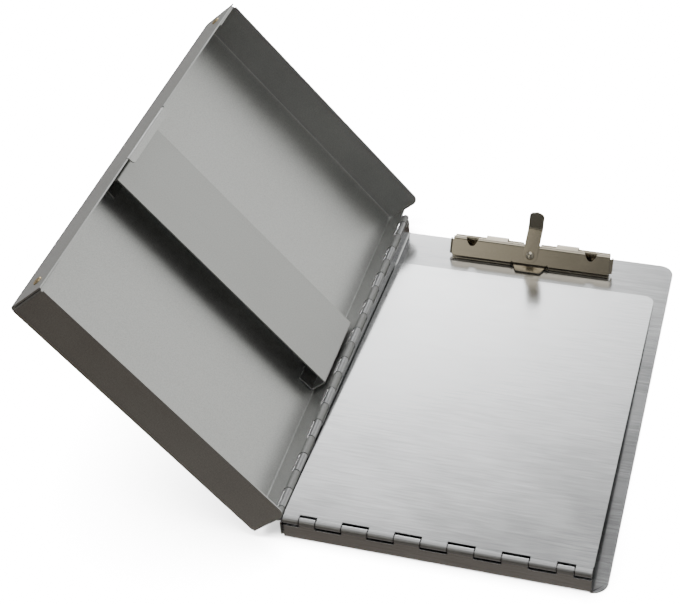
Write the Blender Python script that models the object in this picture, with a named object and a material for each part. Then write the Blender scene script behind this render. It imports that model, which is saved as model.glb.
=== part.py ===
"""Aluminium form holder: a shallow tray with a clip, a hinged writing plate and a deep side-opening lid.

Every panel is folded from thin sheet, and the sheets' own edges are rolled into the knuckles of two
piano hinges. Lengths are in millimetres here and become metres as each mesh is made. The origin is the
centre of the tray's underside, +X points away from the lid's hinge, +Y to the clip and +Z up.
"""

import math

import bmesh
import bpy
import numpy as np
from mathutils import Matrix, Vector

MM = 0.001
SHEET = 0.8  # thickness of the tray, lid, pocket and writing plate
GAP = 0.3  # clearance between neighbouring pieces
FOLD_RADIUS = 1.5  # outer radius of a folded corner
FOLD_STEPS = 3

TRAY_HALF_WIDTH = 82.0
TRAY_HALF_LENGTH = 130.0
TRAY_CORNER_RADIUS = 8.0
CORNER_STEPS = 6

KNUCKLE_INNER = 1.2  # inner radius of a rolled knuckle
KNUCKLE_OUTER = KNUCKLE_INNER + SHEET
KNUCKLE_ROLL = 295.0  # degrees from the leaf's tangent point to the sheet's rolled edge
KNUCKLE_STEPS = 12
PIN_RADIUS = 0.9
KNUCKLE_GAP = 0.5
SIDE_NOTCH_REACH = 2.3  # how far from the axis a leaf is cut back beside the other leaf's knuckles
FRONT_NOTCH_REACH = 2.6

SIDE_AXIS_X = -TRAY_HALF_WIDTH - KNUCKLE_INNER
SIDE_AXIS_Z = 12.7
SIDE_HINGE_HALF = 129.7
SIDE_PITCH = 12.9
SIDE_FULL_KNUCKLES = 19

FRONT_AXIS_Y = -TRAY_HALF_LENGTH + KNUCKLE_OUTER
FRONT_AXIS_Z = 11.5
FRONT_LEFT = -80.7
FRONT_RIGHT = 74.7
FRONT_END_KNUCKLE = 8.6
FRONT_FULL_KNUCKLES = 9

PLATE_FAR_Y = 98.0
PLATE_CORNER_RADIUS = 6.0

LID_OPEN = 131.2  # degrees from shut
LID_PANEL_W = 15.6  # outer face of the panel, from the hinge axis
LID_RIM_W = -9.8
LID_NEAR_V = -133.5  # outer faces of the two end walls
LID_FAR_V = 138.7
LID_OUTER_U = TRAY_HALF_WIDTH - SIDE_AXIS_X + 3.1  # outer face of the long wall opposite the hinge
LID_HEEL_RADIUS = 5.0
TAB_LENGTH = 23.0
TAB_TOP_W = 12.0
TAB_BOTTOM_W = -8.8
LIP_NEAR_V, LIP_FAR_V = -25.0, 24.0
LIP_REACH = 4.8
LIP_FOLD = 1.0
LIP_CORNER = 2.5
RELIEF = 1.0
SEAM = 0.1  # step from an end wall to the long wall that overlaps its corner
CORNER_RIVET_INSET = 11.5  # from the end wall's outer face
CORNER_RIVET_W = 0.0

BAND_NEAR_V, BAND_FAR_V = -28.5, 23.0
BAND_FACE_W = 2.5
BAND_LEG_SLANT = 3.3  # of the leg beside the long wall; the one beside the hinge is square
BAND_FOOT = 10.8

CLIP_X = -2.2
CLIP_AXIS_Y = 121.0
CLIP_AXIS_Z = 9.6
CLIP_HALF = 48.5
ROD_RADIUS = 0.9
JAW_SHEET = 0.9
JAW_KNUCKLE_OUTER = 2.1
JAW_KNUCKLES = ((-28.0, -14.7), (14.7, 28.0))
JAW_SLOPE = 60.0  # degrees from level
JAW_FACE_TOP_Y = -4.0
JAW_FACE_LENGTH = 10.6
NOSE_ROOT_HALF, NOSE_TIP_HALF = 10.0, 7.5
NOSE_REACH = 6.5
JAW_LIP_REACH = 0.8
ACCESS_NOTCH_X = 36.0
ACCESS_NOTCH_Y = -2.8
ACCESS_NOTCH_RADIUS = 3.8
BRACKET_SHEET = 0.6
BRACKET_OUTER = 1.8
BRACKET_HALF = 47.0
BRACKET_LUGS = ((-47.0, -28.3), (-14.4, -5.4), (5.4, 14.4), (28.3, 47.0))
BRACKET_FRONT_Y = -7.8
BRACKET_NOTCH_REACH = 2.9

LEVER_SHEET = 0.9
LEVER_HALF_WIDTH = 4.5
LEVER_LEAN = -5.0  # degrees about its rivet, tip towards +X
LEVER_STRAIGHT = 16.0
LEVER_TIP = 11.7
LEVER_BEND = 30.0
RIVET_DOWN_FACE = 4.85  # from the top of the jaw's sloping face to the lever's rivet

SPRING_MEAN_RADIUS = 1.75
SPRING_WIRE_RADIUS = 0.35
SPRING_HALF = 4.5
SPRING_TURNS = 6

HOLE_SIDES = 20


def clear_scene():
    for thing in list(bpy.data.objects):
        bpy.data.objects.remove(thing, do_unlink=True)


def metal(name, colour, roughness):
    """A plain metallic material."""
    material = bpy.data.materials.new(name)
    material.use_nodes = True
    shader = material.node_tree.nodes["Principled BSDF"]
    shader.inputs["Base Color"].default_value = (*colour, 1.0)
    shader.inputs["Roughness"].default_value = roughness
    shader.inputs["Metallic"].default_value = 1.0
    return material


def empty(name, location, rotation=(0.0, 0.0, 0.0), parent=None):
    """A joint's axis, as an empty at a place in millimetres and an angle in degrees."""
    axis = bpy.data.objects.new(name, None)
    axis.location = Vector(location) * MM
    axis.rotation_euler = [math.radians(a) for a in rotation]
    axis.parent = parent
    bpy.context.scene.collection.objects.link(axis)
    return axis


def add_object(name, shape, material, parent=None, location=(0.0, 0.0, 0.0), rotation=(0.0, 0.0, 0.0)):
    """Turns a bmesh in millimetres into a smooth-shaded object in metres."""
    bmesh.ops.scale(shape, vec=(MM, MM, MM), verts=shape.verts)
    mesh = bpy.data.meshes.new(name)
    shape.to_mesh(mesh)
    shape.free()
    mesh.shade_smooth()
    mesh.set_sharp_from_angle(angle=math.radians(35.0))
    piece = bpy.data.objects.new(name, mesh)
    piece.location = Vector(location) * MM
    piece.rotation_euler = [math.radians(a) for a in rotation]
    piece.parent = parent
    if material:
        mesh.materials.append(material)
    bpy.context.scene.collection.objects.link(piece)
    return piece


def arc(centre, radius, start, end, steps):
    """Points on an arc between two angles in degrees, both ends included."""
    angles = np.radians(np.linspace(start, end, steps + 1))
    return [(centre[0] + radius * math.cos(a), centre[1] + radius * math.sin(a)) for a in angles]


def span(low, high, between=()):
    """Sorted stations from low to high, with those of between that lie inside."""
    return sorted({low, high, *(s for s in between if low < s < high)})


def strip(rows, low, high, place):
    """Quads that carry a line of section points from one station to another."""
    return [[place(a, low), place(b, low), place(b, high), place(a, high)] for a, b in zip(rows, rows[1:])]


def folded_sheet(faces, thickness, outside):
    """Closes a folded surface into sheet metal, thick on the side away from outside.

    Every corner moves back until it is one thickness from each flat that meets there. The face that
    lies furthest along outside shows which side of the surface is out.
    """
    shape = bmesh.new()
    for corners in faces:
        shape.faces.new([shape.verts.new(c) for c in corners])
    bmesh.ops.remove_doubles(shape, verts=shape.verts, dist=0.001)
    bmesh.ops.recalc_face_normals(shape, faces=shape.faces)
    shape.normal_update()
    out = Vector(outside)
    guide = max(shape.faces, key=lambda f: (round(f.calc_center_median().dot(out), 3), f.calc_area()))
    if guide.normal.dot(out) < 0:
        bmesh.ops.reverse_faces(shape, faces=shape.faces)
        shape.normal_update()
    front = list(shape.faces)
    rim = [(e.link_loops[0].vert, e.link_loops[0].link_loop_next.vert) for e in shape.edges if e.is_boundary]
    back = {}
    for vert in list(shape.verts):
        normals = np.array([f.normal for f in vert.link_faces])
        move = np.linalg.lstsq(normals, np.full(len(normals), -thickness), rcond=1e-3)[0]
        back[vert] = shape.verts.new(vert.co + Vector(move))
    for face in front:
        shape.faces.new([back[v] for v in reversed(face.verts)])
    for a, b in rim:
        shape.faces.new([b, a, back[a], back[b]])
    return shape


def turned(rings, sides):
    """A turned solid about +Z from its (radius, height) rings, lowest first."""
    shape = bmesh.new()
    circles = []
    for radius, height in rings:
        turns = [2.0 * math.pi * i / sides for i in range(sides)]
        circles.append([shape.verts.new((radius * math.cos(t), radius * math.sin(t), height)) for t in turns])
    shape.faces.new(list(reversed(circles[0])))
    shape.faces.new(circles[-1])
    for low, high in zip(circles, circles[1:]):
        for i in range(sides):
            j = (i + 1) % sides
            shape.faces.new([low[i], low[j], high[j], high[i]])
    return shape


def rivet_shape(shank, bottom, head_bottom, head_radius, head_height, tail=None):
    """A domed rivet about +Z: its shank, a head on top and, if given, a flat tail of (radius, height)."""
    rings = [(shank, bottom)]
    if tail:
        rings = [(tail[0], bottom), (tail[0], bottom + tail[1]), (shank, bottom + tail[1])]
    rings += [(shank, head_bottom), (head_radius, head_bottom)]
    for angle in (25.0, 50.0, 75.0):
        rise = math.radians(angle)
        rings.append((head_radius * math.cos(rise), head_bottom + head_height * math.sin(rise)))
    return turned(rings, HOLE_SIDES)


def drill(piece, radius, centre, along, reach, parent=None):
    """Bores a round hole through a piece, about a point and direction in the parent's millimetres."""
    shape = turned([(radius, -reach), (radius, reach)], HOLE_SIDES)
    turn = Vector((0.0, 0.0, 1.0)).rotation_difference(Vector(along)).to_matrix().to_4x4()
    bmesh.ops.transform(shape, matrix=Matrix.Translation(Vector(centre)) @ turn, verts=shape.verts)
    cutter = add_object("cutter", shape, None, parent)
    cutter.hide_render = True
    cutter.display_type = "WIRE"
    cut = piece.modifiers.new("drill", "BOOLEAN")
    cut.operation = "DIFFERENCE"
    cut.solver = "EXACT"
    cut.object = cutter


def knuckle_spans(bounds, first):
    """Every second interval of a hinge, less half the gap to its neighbours at each end."""
    pairs = list(zip(bounds, bounds[1:]))[first::2]
    return [(a + KNUCKLE_GAP / 2, b - KNUCKLE_GAP / 2) for a, b in pairs]


def leaf(section, notch_points, stations, knuckles, place):
    """A hinge leaf: the whole section at its knuckles, and only its first points beside them."""
    faces = []
    for low, high in zip(stations, stations[1:]):
        middle = (low + high) / 2
        rolled = any(a < middle < b for a, b in knuckles)
        faces += strip(section if rolled else section[:notch_points], low, high, place)
    return faces


def side_bounds():
    half = SIDE_PITCH * SIDE_FULL_KNUCKLES / 2
    inner = [-half + SIDE_PITCH * i for i in range(SIDE_FULL_KNUCKLES + 1)]
    return [-SIDE_HINGE_HALF, *inner, SIDE_HINGE_HALF]


def front_bounds():
    ends = [FRONT_LEFT + FRONT_END_KNUCKLE * i for i in range(2)]
    start = FRONT_LEFT + 2 * FRONT_END_KNUCKLE
    stop = FRONT_RIGHT - 2 * FRONT_END_KNUCKLE
    pitch = (stop - start) / FRONT_FULL_KNUCKLES
    inner = [start + pitch * i for i in range(FRONT_FULL_KNUCKLES + 1)]
    return [*ends, *inner, FRONT_RIGHT - FRONT_END_KNUCKLE, FRONT_RIGHT]


def make_tray(material):
    """The base, its hinge wall on the left and its lower wall at the near end."""
    left_fold = -TRAY_HALF_WIDTH + FOLD_RADIUS
    near_fold = -TRAY_HALF_LENGTH + FOLD_RADIUS
    side_knuckles = knuckle_spans(side_bounds(), 1)
    side_start = near_fold + GAP
    side = span(side_start, TRAY_HALF_LENGTH, [s for pair in side_knuckles for s in pair])
    side_section = arc((left_fold, FOLD_RADIUS), FOLD_RADIUS, 270, 180, FOLD_STEPS)
    side_section.append((-TRAY_HALF_WIDTH, SIDE_AXIS_Z - SIDE_NOTCH_REACH))
    side_section += arc((SIDE_AXIS_X, SIDE_AXIS_Z), KNUCKLE_INNER, 0, KNUCKLE_ROLL, KNUCKLE_STEPS)
    straight = side_section[FOLD_STEPS : FOLD_STEPS + 2]

    front_knuckles = knuckle_spans(front_bounds(), 1)
    front_start = left_fold + GAP
    front = span(front_start, FRONT_RIGHT, [s for pair in front_knuckles for s in pair])
    front_section = arc((near_fold, FOLD_RADIUS), FOLD_RADIUS, 270, 180, FOLD_STEPS)
    front_section.append((-TRAY_HALF_LENGTH, FRONT_AXIS_Z - FRONT_NOTCH_REACH))
    front_section += arc(
        (FRONT_AXIS_Y, FRONT_AXIS_Z), KNUCKLE_OUTER, 180, 180 - KNUCKLE_ROLL, KNUCKLE_STEPS
    )

    def on_side(point, y):
        return (point[0], y, point[1])

    def on_front(point, x):
        return (x, point[0], point[1])

    corner_x = TRAY_HALF_WIDTH - TRAY_CORNER_RADIUS
    corner_y = TRAY_HALF_LENGTH - TRAY_CORNER_RADIUS
    base = [(left_fold, near_fold)]
    base += [(x, near_fold) for x in front]
    base += [(FRONT_RIGHT + GAP, near_fold), (FRONT_RIGHT + GAP, -TRAY_HALF_LENGTH)]
    base += arc((corner_x, -corner_y), TRAY_CORNER_RADIUS, -90, 0, CORNER_STEPS)
    base += arc((corner_x, corner_y), TRAY_CORNER_RADIUS, 0, 90, CORNER_STEPS)
    base += [(left_fold, y) for y in reversed(side)]
    faces = [[(x, y, 0.0) for x, y in base]]
    faces += leaf(side_section, FOLD_STEPS + 2, side, side_knuckles, on_side)
    faces += strip(straight, -SIDE_HINGE_HALF, side_start, on_side)
    faces += leaf(front_section, FOLD_STEPS + 2, front, front_knuckles, on_front)
    tray = add_object("tray", folded_sheet(faces, SHEET, (0, 0, -1)), material)
    for side_sign in (-1, 1):
        place = (CLIP_X + side_sign * ACCESS_NOTCH_X, CLIP_AXIS_Y + ACCESS_NOTCH_Y, 0.0)
        drill(tray, 1.7, place, (0, 0, 1), 4.0)
    return tray


def make_pins(material):
    """The two straight wires that the rolled knuckles turn on."""
    side = turned([(PIN_RADIUS, -SIDE_HINGE_HALF), (PIN_RADIUS, SIDE_HINGE_HALF)], 14)
    add_object("side_hinge_pin", side, material, None, (SIDE_AXIS_X, 0.0, SIDE_AXIS_Z), (-90, 0, 0))
    middle = (FRONT_LEFT + FRONT_RIGHT) / 2
    half = (FRONT_RIGHT - FRONT_LEFT) / 2 - 0.2
    front = turned([(PIN_RADIUS, -half), (PIN_RADIUS, half)], 14)
    add_object("plate_hinge_pin", front, material, None, (middle, FRONT_AXIS_Y, FRONT_AXIS_Z), (0, 90, 0))


def plate_angle():
    """Degrees by which the writing plate slopes down to lie one gap above the tray's floor."""
    length = PLATE_FAR_Y - FRONT_AXIS_Y
    drop = FRONT_AXIS_Z - SHEET - GAP
    slope = math.asin(drop / math.hypot(length, KNUCKLE_INNER))
    return math.degrees(slope + math.atan2(KNUCKLE_INNER, length))


def make_writing_plate(material):
    """The flat plate that forms lie on, rolled into knuckles along its near edge."""
    knuckles = knuckle_spans(front_bounds(), 0)
    stations = span(FRONT_LEFT, FRONT_RIGHT, [s for pair in knuckles for s in pair])
    section = [(FRONT_NOTCH_REACH + 1.0, KNUCKLE_OUTER), (FRONT_NOTCH_REACH, KNUCKLE_OUTER)]
    section += arc((0.0, 0.0), KNUCKLE_OUTER, 90, 90 + KNUCKLE_ROLL, KNUCKLE_STEPS)

    def place(point, x):
        return (x, point[0], point[1])

    length = (PLATE_FAR_Y - FRONT_AXIS_Y) / math.cos(math.radians(plate_angle()))
    far_right = (FRONT_RIGHT - PLATE_CORNER_RADIUS, length - PLATE_CORNER_RADIUS)
    outline = [(x, section[0][0]) for x in stations]
    outline += arc(far_right, PLATE_CORNER_RADIUS, 0, 90, CORNER_STEPS)
    outline += arc((FRONT_LEFT + 2.0, length - 2.0), 2.0, 90, 180, 3)
    faces = [[(x, y, KNUCKLE_OUTER) for x, y in outline]]
    faces += leaf(section, 2, stations, knuckles, place)
    shape = folded_sheet(faces, SHEET, (0, 1, 0.5))
    axis = (0.0, FRONT_AXIS_Y, FRONT_AXIS_Z)
    return add_object("writing_plate", shape, material, None, axis, (-plate_angle(), 0, 0))


def end_wall(end_v):
    """One end wall of the lid, with the fold that joins it to the panel and its tab behind the long wall."""
    inwards = -math.copysign(1.0, end_v)
    fold_u = KNUCKLE_INNER + FOLD_RADIUS
    tab_u = LID_OUTER_U - SHEET - GAP
    bend_u = tab_u - FOLD_RADIUS
    fold_w = LID_PANEL_W - FOLD_RADIUS
    bend = arc((FOLD_RADIUS, fold_w), FOLD_RADIUS, 90, 180, FOLD_STEPS)

    def along(point, u):
        return (u, end_v + inwards * point[0], point[1])

    def upright(point, w):
        return (point[0], end_v + inwards * point[1], w)

    heel = arc((KNUCKLE_INNER + LID_HEEL_RADIUS, LID_RIM_W + LID_HEEL_RADIUS), LID_HEEL_RADIUS, 270, 180, 5)
    wall = [(fold_u + GAP, fold_w), (bend_u, fold_w), (bend_u, TAB_TOP_W), (bend_u, TAB_BOTTOM_W)]
    wall += [(bend_u, LID_RIM_W), *heel, (KNUCKLE_INNER, fold_w)]
    faces = strip(bend, fold_u + GAP, bend_u, along)
    faces.append([(u, end_v, w) for u, w in wall])
    tab = arc((bend_u, FOLD_RADIUS), FOLD_RADIUS, -90, 0, FOLD_STEPS)
    tab.append((tab_u, TAB_LENGTH))
    faces += strip(tab, TAB_BOTTOM_W, TAB_TOP_W, upright)
    return faces


def long_wall():
    """The lid's long wall opposite the hinge, with an inturned lip in the middle of its rim."""
    fold_u = LID_OUTER_U - FOLD_RADIUS
    near_fold = LID_NEAR_V + FOLD_RADIUS + GAP
    far_fold = LID_FAR_V - FOLD_RADIUS - GAP
    fold_w = LID_PANEL_W - FOLD_RADIUS
    bend = arc((fold_u, fold_w), FOLD_RADIUS, 90, 0, FOLD_STEPS)

    def place(point, v):
        return (point[0], v, point[1])

    faces = strip(bend, near_fold, far_fold, place)
    near_end, far_end = LID_NEAR_V + SEAM, LID_FAR_V - SEAM
    lip_w = LID_RIM_W + LIP_FOLD
    relief_w = lip_w + RELIEF
    wall = [(near_fold, fold_w), (far_fold, fold_w), (far_end, fold_w - GAP), (far_end, LID_RIM_W)]
    wall += [(LIP_FAR_V + RELIEF, LID_RIM_W), (LIP_FAR_V + RELIEF, relief_w), (LIP_FAR_V, relief_w)]
    wall += [(LIP_FAR_V, lip_w), (LIP_NEAR_V, lip_w), (LIP_NEAR_V, relief_w)]
    wall += [(LIP_NEAR_V - RELIEF, relief_w), (LIP_NEAR_V - RELIEF, LID_RIM_W)]
    wall += [(near_end, LID_RIM_W), (near_end, fold_w - GAP)]
    faces.append([(LID_OUTER_U, v, w) for v, w in wall])
    lip_fold = arc((LID_OUTER_U - LIP_FOLD, lip_w), LIP_FOLD, 0, -90, FOLD_STEPS)
    faces += strip(lip_fold, LIP_NEAR_V, LIP_FAR_V, place)
    edge = LID_OUTER_U - LIP_REACH + LIP_CORNER
    lip = [(LID_OUTER_U - LIP_FOLD, LIP_NEAR_V), (LID_OUTER_U - LIP_FOLD, LIP_FAR_V)]
    lip += arc((edge, LIP_FAR_V - LIP_CORNER), LIP_CORNER, 90, 180, 4)
    lip += arc((edge, LIP_NEAR_V + LIP_CORNER), LIP_CORNER, 180, 270, 4)
    faces.append([(u, v, LID_RIM_W) for u, v in lip])
    return faces


def make_lid(material, axis):
    """The lid: a panel folded up on four sides. In its frame u points outwards, v is Y and w is its depth."""
    fold_u = KNUCKLE_INNER + FOLD_RADIUS
    near_fold, far_fold = LID_NEAR_V + FOLD_RADIUS, LID_FAR_V - FOLD_RADIUS
    near_end, far_end = near_fold + GAP, far_fold - GAP
    fold_w = LID_PANEL_W - FOLD_RADIUS
    bend_u = LID_OUTER_U - SHEET - GAP - FOLD_RADIUS
    knuckles = knuckle_spans(side_bounds(), 0)
    stations = span(near_end, far_end, [s for pair in knuckles for s in pair])
    section = arc((fold_u, fold_w), FOLD_RADIUS, 90, 180, FOLD_STEPS)
    section.append((KNUCKLE_INNER, SIDE_NOTCH_REACH))
    section += arc((0.0, 0.0), KNUCKLE_INNER, 0, -KNUCKLE_ROLL, KNUCKLE_STEPS)

    def place(point, v):
        return (point[0], v, point[1])

    outer_fold = LID_OUTER_U - FOLD_RADIUS
    panel = [(fold_u, near_fold), (fold_u + GAP, near_fold), (bend_u, near_fold), (outer_fold, near_fold)]
    panel += [(outer_fold, near_end), (outer_fold, far_end), (outer_fold, far_fold), (bend_u, far_fold)]
    panel += [(fold_u + GAP, far_fold), (fold_u, far_fold)]
    panel += [(fold_u, v) for v in reversed(stations)]
    faces = [[(u, v, LID_PANEL_W) for u, v in panel]]
    faces += leaf(section, FOLD_STEPS + 2, stations, knuckles, place)
    faces += end_wall(LID_NEAR_V) + end_wall(LID_FAR_V) + long_wall()
    lid = add_object("lid_shell", folded_sheet(faces, SHEET, (0, 0, 1)), material, axis)
    for v in (LID_NEAR_V + CORNER_RIVET_INSET, LID_FAR_V - CORNER_RIVET_INSET):
        drill(lid, 1.5, (LID_OUTER_U, v, CORNER_RIVET_W), (1, 0, 0), 4.0, axis)
    return lid


def make_pocket_band(material, axis):
    """The band across the lid that holds papers against the panel, on feet turned under its ends."""
    foot_w = LID_PANEL_W - SHEET - GAP
    start_u = KNUCKLE_OUTER + 1.2
    stop_u = LID_OUTER_U - SHEET - 0.4
    section = [(start_u + BAND_FOOT, foot_w), (start_u, foot_w), (start_u, BAND_FACE_W)]
    section += [(stop_u - BAND_LEG_SLANT, BAND_FACE_W), (stop_u, foot_w), (stop_u - BAND_FOOT, foot_w)]

    def place(point, v):
        return (point[0], v, point[1])

    faces = strip(section, BAND_NEAR_V, BAND_FAR_V, place)
    shape = folded_sheet(faces, SHEET, (0, 0, -1))
    return add_object("pocket_band", shape, material, axis)


def make_corner_rivets(material, axis):
    """A rivet through each end wall's tab and the long wall."""
    inner = -(2 * SHEET + GAP) - GAP
    places = {
        "corner_rivet_near": LID_NEAR_V + CORNER_RIVET_INSET,
        "corner_rivet_far": LID_FAR_V - CORNER_RIVET_INSET,
    }
    for name, v in places.items():
        shape = rivet_shape(1.2, inner - 0.6, GAP, 2.6, 0.8, tail=(1.9, 0.6))
        place = (LID_OUTER_U, v, CORNER_RIVET_W)
        add_object(name, shape, material, axis, place, (0, 90, 0))


def on_face(down, out):
    """A point (y, z) of the jaw's section, so far down its sloping face and so far out from it."""
    slope = math.radians(JAW_SLOPE)
    y = JAW_FACE_TOP_Y - down * math.cos(slope) - out * math.sin(slope)
    z = JAW_KNUCKLE_OUTER - down * math.sin(slope) + out * math.cos(slope)
    return (y, z)


def make_jaw(material, axis):
    """The clip's jaw: a sloping face with a lip, a nose in its middle and two knuckles on the rod."""
    section = [(JAW_FACE_TOP_Y, JAW_KNUCKLE_OUTER), (-2.6, JAW_KNUCKLE_OUTER)]
    section += arc((0.0, 0.0), JAW_KNUCKLE_OUTER, 90, 90 - KNUCKLE_ROLL, KNUCKLE_STEPS)
    stations = span(-CLIP_HALF, CLIP_HALF, [s for pair in JAW_KNUCKLES for s in pair])

    def place(point, x):
        return (x, point[0], point[1])

    ear_top, ear_bottom = 0.8, JAW_FACE_LENGTH - 1.0
    notch_half = NOSE_ROOT_HALF + 1.5
    face = [(x, 0.0) for x in stations]
    face += [(CLIP_HALF, ear_top), (CLIP_HALF, ear_bottom), (CLIP_HALF, JAW_FACE_LENGTH)]
    face += [(notch_half, JAW_FACE_LENGTH), (NOSE_ROOT_HALF + 0.75, JAW_FACE_LENGTH - 1.2)]
    face += [(NOSE_ROOT_HALF, JAW_FACE_LENGTH), (-NOSE_ROOT_HALF, JAW_FACE_LENGTH)]
    face += [(-NOSE_ROOT_HALF - 0.75, JAW_FACE_LENGTH - 1.2), (-notch_half, JAW_FACE_LENGTH)]
    face += [(-CLIP_HALF, JAW_FACE_LENGTH), (-CLIP_HALF, ear_bottom), (-CLIP_HALF, ear_top)]
    faces = [[(x, *on_face(down, 0.0)) for x, down in face]]
    faces += leaf(section, 2, stations, JAW_KNUCKLES, place)

    foot = on_face(JAW_FACE_LENGTH, 0.0)
    lip_edge = (foot[0] - JAW_LIP_REACH, foot[1] - 0.4)
    nose_edge = (foot[0] - NOSE_REACH, foot[1] - 0.45)
    for low, high in ((-CLIP_HALF, -notch_half), (notch_half, CLIP_HALF)):
        faces += strip([foot, lip_edge], low, high, place)
    nose = [(-NOSE_ROOT_HALF, *foot), (NOSE_ROOT_HALF, *foot)]
    nose += [(NOSE_TIP_HALF, *nose_edge), (-NOSE_TIP_HALF, *nose_edge)]
    faces.append(nose)
    for sign in (-1, 1):
        top, bottom = on_face(ear_top, 0.0), on_face(ear_bottom, 0.0)
        ear = [top, bottom, (bottom[0] + 3.0, bottom[1]), (-2.6, -1.0), (-2.6, top[1])]
        faces.append([(sign * CLIP_HALF, y, z) for y, z in ear])

    jaw = add_object("clip_jaw", folded_sheet(faces, JAW_SHEET, (0, -0.87, 0.5)), material, axis)
    slope = math.radians(JAW_SLOPE)
    out = (0.0, -math.sin(slope), math.cos(slope))
    drill(jaw, 1.5, (0.0, *on_face(RIVET_DOWN_FACE, 0.0)), out, 2.5, axis)
    for sign in (-1, 1):
        drill(jaw, ACCESS_NOTCH_RADIUS, (sign * ACCESS_NOTCH_X, ACCESS_NOTCH_Y, 0.0), (0, 0, 1), 4.0, axis)
    return jaw


def make_bracket(material, base):
    """The strip that is riveted to the tray and rolled into four lugs that hold the clip's rod."""
    floor = SHEET + GAP - CLIP_AXIS_Z
    fold = 1.2
    bend_centre = (BRACKET_OUTER - fold, floor + fold)
    section = [(BRACKET_FRONT_Y, floor), *arc(bend_centre, fold, 270, 360, FOLD_STEPS)]
    section.append((BRACKET_OUTER, -BRACKET_NOTCH_REACH))
    section += arc((0.0, 0.0), BRACKET_OUTER, 0, KNUCKLE_ROLL, KNUCKLE_STEPS)
    stations = span(-BRACKET_HALF, BRACKET_HALF, [s for pair in BRACKET_LUGS for s in pair])

    def place(point, x):
        return (x, point[0], point[1])

    faces = leaf(section[1:], FOLD_STEPS + 2, stations, BRACKET_LUGS, place)
    plate = [(x, section[1][0]) for x in stations]
    plate += [(BRACKET_HALF, BRACKET_FRONT_Y), (-BRACKET_HALF, BRACKET_FRONT_Y)]
    faces.append([(x, y, floor) for x, y in plate])
    bracket = add_object("clip_bracket", folded_sheet(faces, BRACKET_SHEET, (0, 0, -1)), material, base)
    for sign in (-1, 1):
        drill(bracket, 1.7, (sign * ACCESS_NOTCH_X, ACCESS_NOTCH_Y, floor), (0, 0, 1), 1.5, base)
    return bracket


def make_mount_rivets(material, base):
    """Two rivets, flush under the tray, below the jaw's half-round notches."""
    head_bottom = SHEET + GAP + BRACKET_SHEET + GAP
    for name, sign in (("clip_mount_rivet_left", -1), ("clip_mount_rivet_right", 1)):
        shape = rivet_shape(1.4, 0.05, head_bottom, 2.4, 1.0)
        place = (sign * ACCESS_NOTCH_X, ACCESS_NOTCH_Y, -CLIP_AXIS_Z)
        add_object(name, shape, material, base, place)


def make_rod(material, base):
    """The wire that the jaw turns on."""
    half = BRACKET_HALF + 0.2
    shape = turned([(ROD_RADIUS, -half), (ROD_RADIUS, half)], 14)
    add_object("clip_hinge_rod", shape, material, base, (0, 0, 0), (0, 90, 0))


def make_spring(material, base):
    """A torsion spring on the rod: a leg stands on the bracket and the other bears on the lever's rivet."""
    steps = 12
    start, finish = 180.0, 180.0 + 360.0 * SPRING_TURNS - 49.0
    count = round((finish - start) / 360.0 * steps)
    points = [(-SPRING_HALF, -SPRING_MEAN_RADIUS, SHEET + GAP + BRACKET_SHEET + 0.6 - CLIP_AXIS_Z)]
    for i in range(count + 1):
        turn = math.radians(start + (finish - start) * i / count)
        x = -SPRING_HALF + 2 * SPRING_HALF * i / count
        points.append((x, SPRING_MEAN_RADIUS * math.cos(turn), SPRING_MEAN_RADIUS * math.sin(turn)))
    tip = on_face(RIVET_DOWN_FACE - 2.5, -1.9)
    points += [(SPRING_HALF, *tip), (-1.0, *tip)]
    curve = bpy.data.curves.new("clip_spring", "CURVE")
    curve.dimensions = "3D"
    curve.bevel_depth = SPRING_WIRE_RADIUS * MM
    curve.bevel_resolution = 1
    curve.use_fill_caps = True
    line = curve.splines.new("POLY")
    line.points.add(len(points) - 1)
    for point, place in zip(line.points, points):
        point.co = (*(Vector(place) * MM), 1.0)
    curve.materials.append(material)
    spring = bpy.data.objects.new("clip_spring", curve)
    spring.parent = base
    bpy.context.scene.collection.objects.link(spring)


def make_lever(material, swivel):
    """The thumb lever, a strip that turns on its rivet; its frame has Y up the jaw's face and Z out of it."""
    bend_radius = 2.0
    top = GAP + LEVER_SHEET
    bend = arc((LEVER_STRAIGHT, top + bend_radius), bend_radius, -90, -90 + LEVER_BEND, 3)
    rise = math.radians(LEVER_BEND)

    def place(point, x):
        return (x, point[0], point[1])

    def on_tip(x, far):
        return (x, bend[-1][0] + far * math.cos(rise), bend[-1][1] + far * math.sin(rise))

    foot = arc((0.0, 0.0), LEVER_HALF_WIDTH, 180, 360, 10)
    corner = 3.0
    crown = [(LEVER_HALF_WIDTH, 0.0)]
    crown += arc((LEVER_HALF_WIDTH - corner, LEVER_TIP - corner - 0.6), corner, 0, 70, 4)
    crown += [(0.0, LEVER_TIP)]
    crown += arc((corner - LEVER_HALF_WIDTH, LEVER_TIP - corner - 0.6), corner, 110, 180, 4)
    crown += [(-LEVER_HALF_WIDTH, 0.0)]
    strap = [*foot, (LEVER_HALF_WIDTH, LEVER_STRAIGHT), (-LEVER_HALF_WIDTH, LEVER_STRAIGHT)]
    faces = [[(x, y, top) for x, y in strap]]
    faces += strip(bend, -LEVER_HALF_WIDTH, LEVER_HALF_WIDTH, place)
    faces.append([on_tip(x, far) for x, far in crown])
    lever = add_object("clip_lever", folded_sheet(faces, LEVER_SHEET, (0, -1, 0.1)), material, swivel)
    drill(lever, 1.5, (0.0, 0.0, top), (0, 0, 1), 2.0, swivel)
    return lever


def make_lever_rivet(material, jaw_axis, place):
    """The domed rivet that the lever turns on."""
    tail_bottom = -JAW_SHEET - GAP - 1.0
    shape = rivet_shape(1.2, tail_bottom, 2 * GAP + LEVER_SHEET, 2.6, 1.5, tail=(1.8, 1.0))
    add_object("clip_lever_rivet", shape, material, jaw_axis, place, (JAW_SLOPE, 0, 0))


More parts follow.
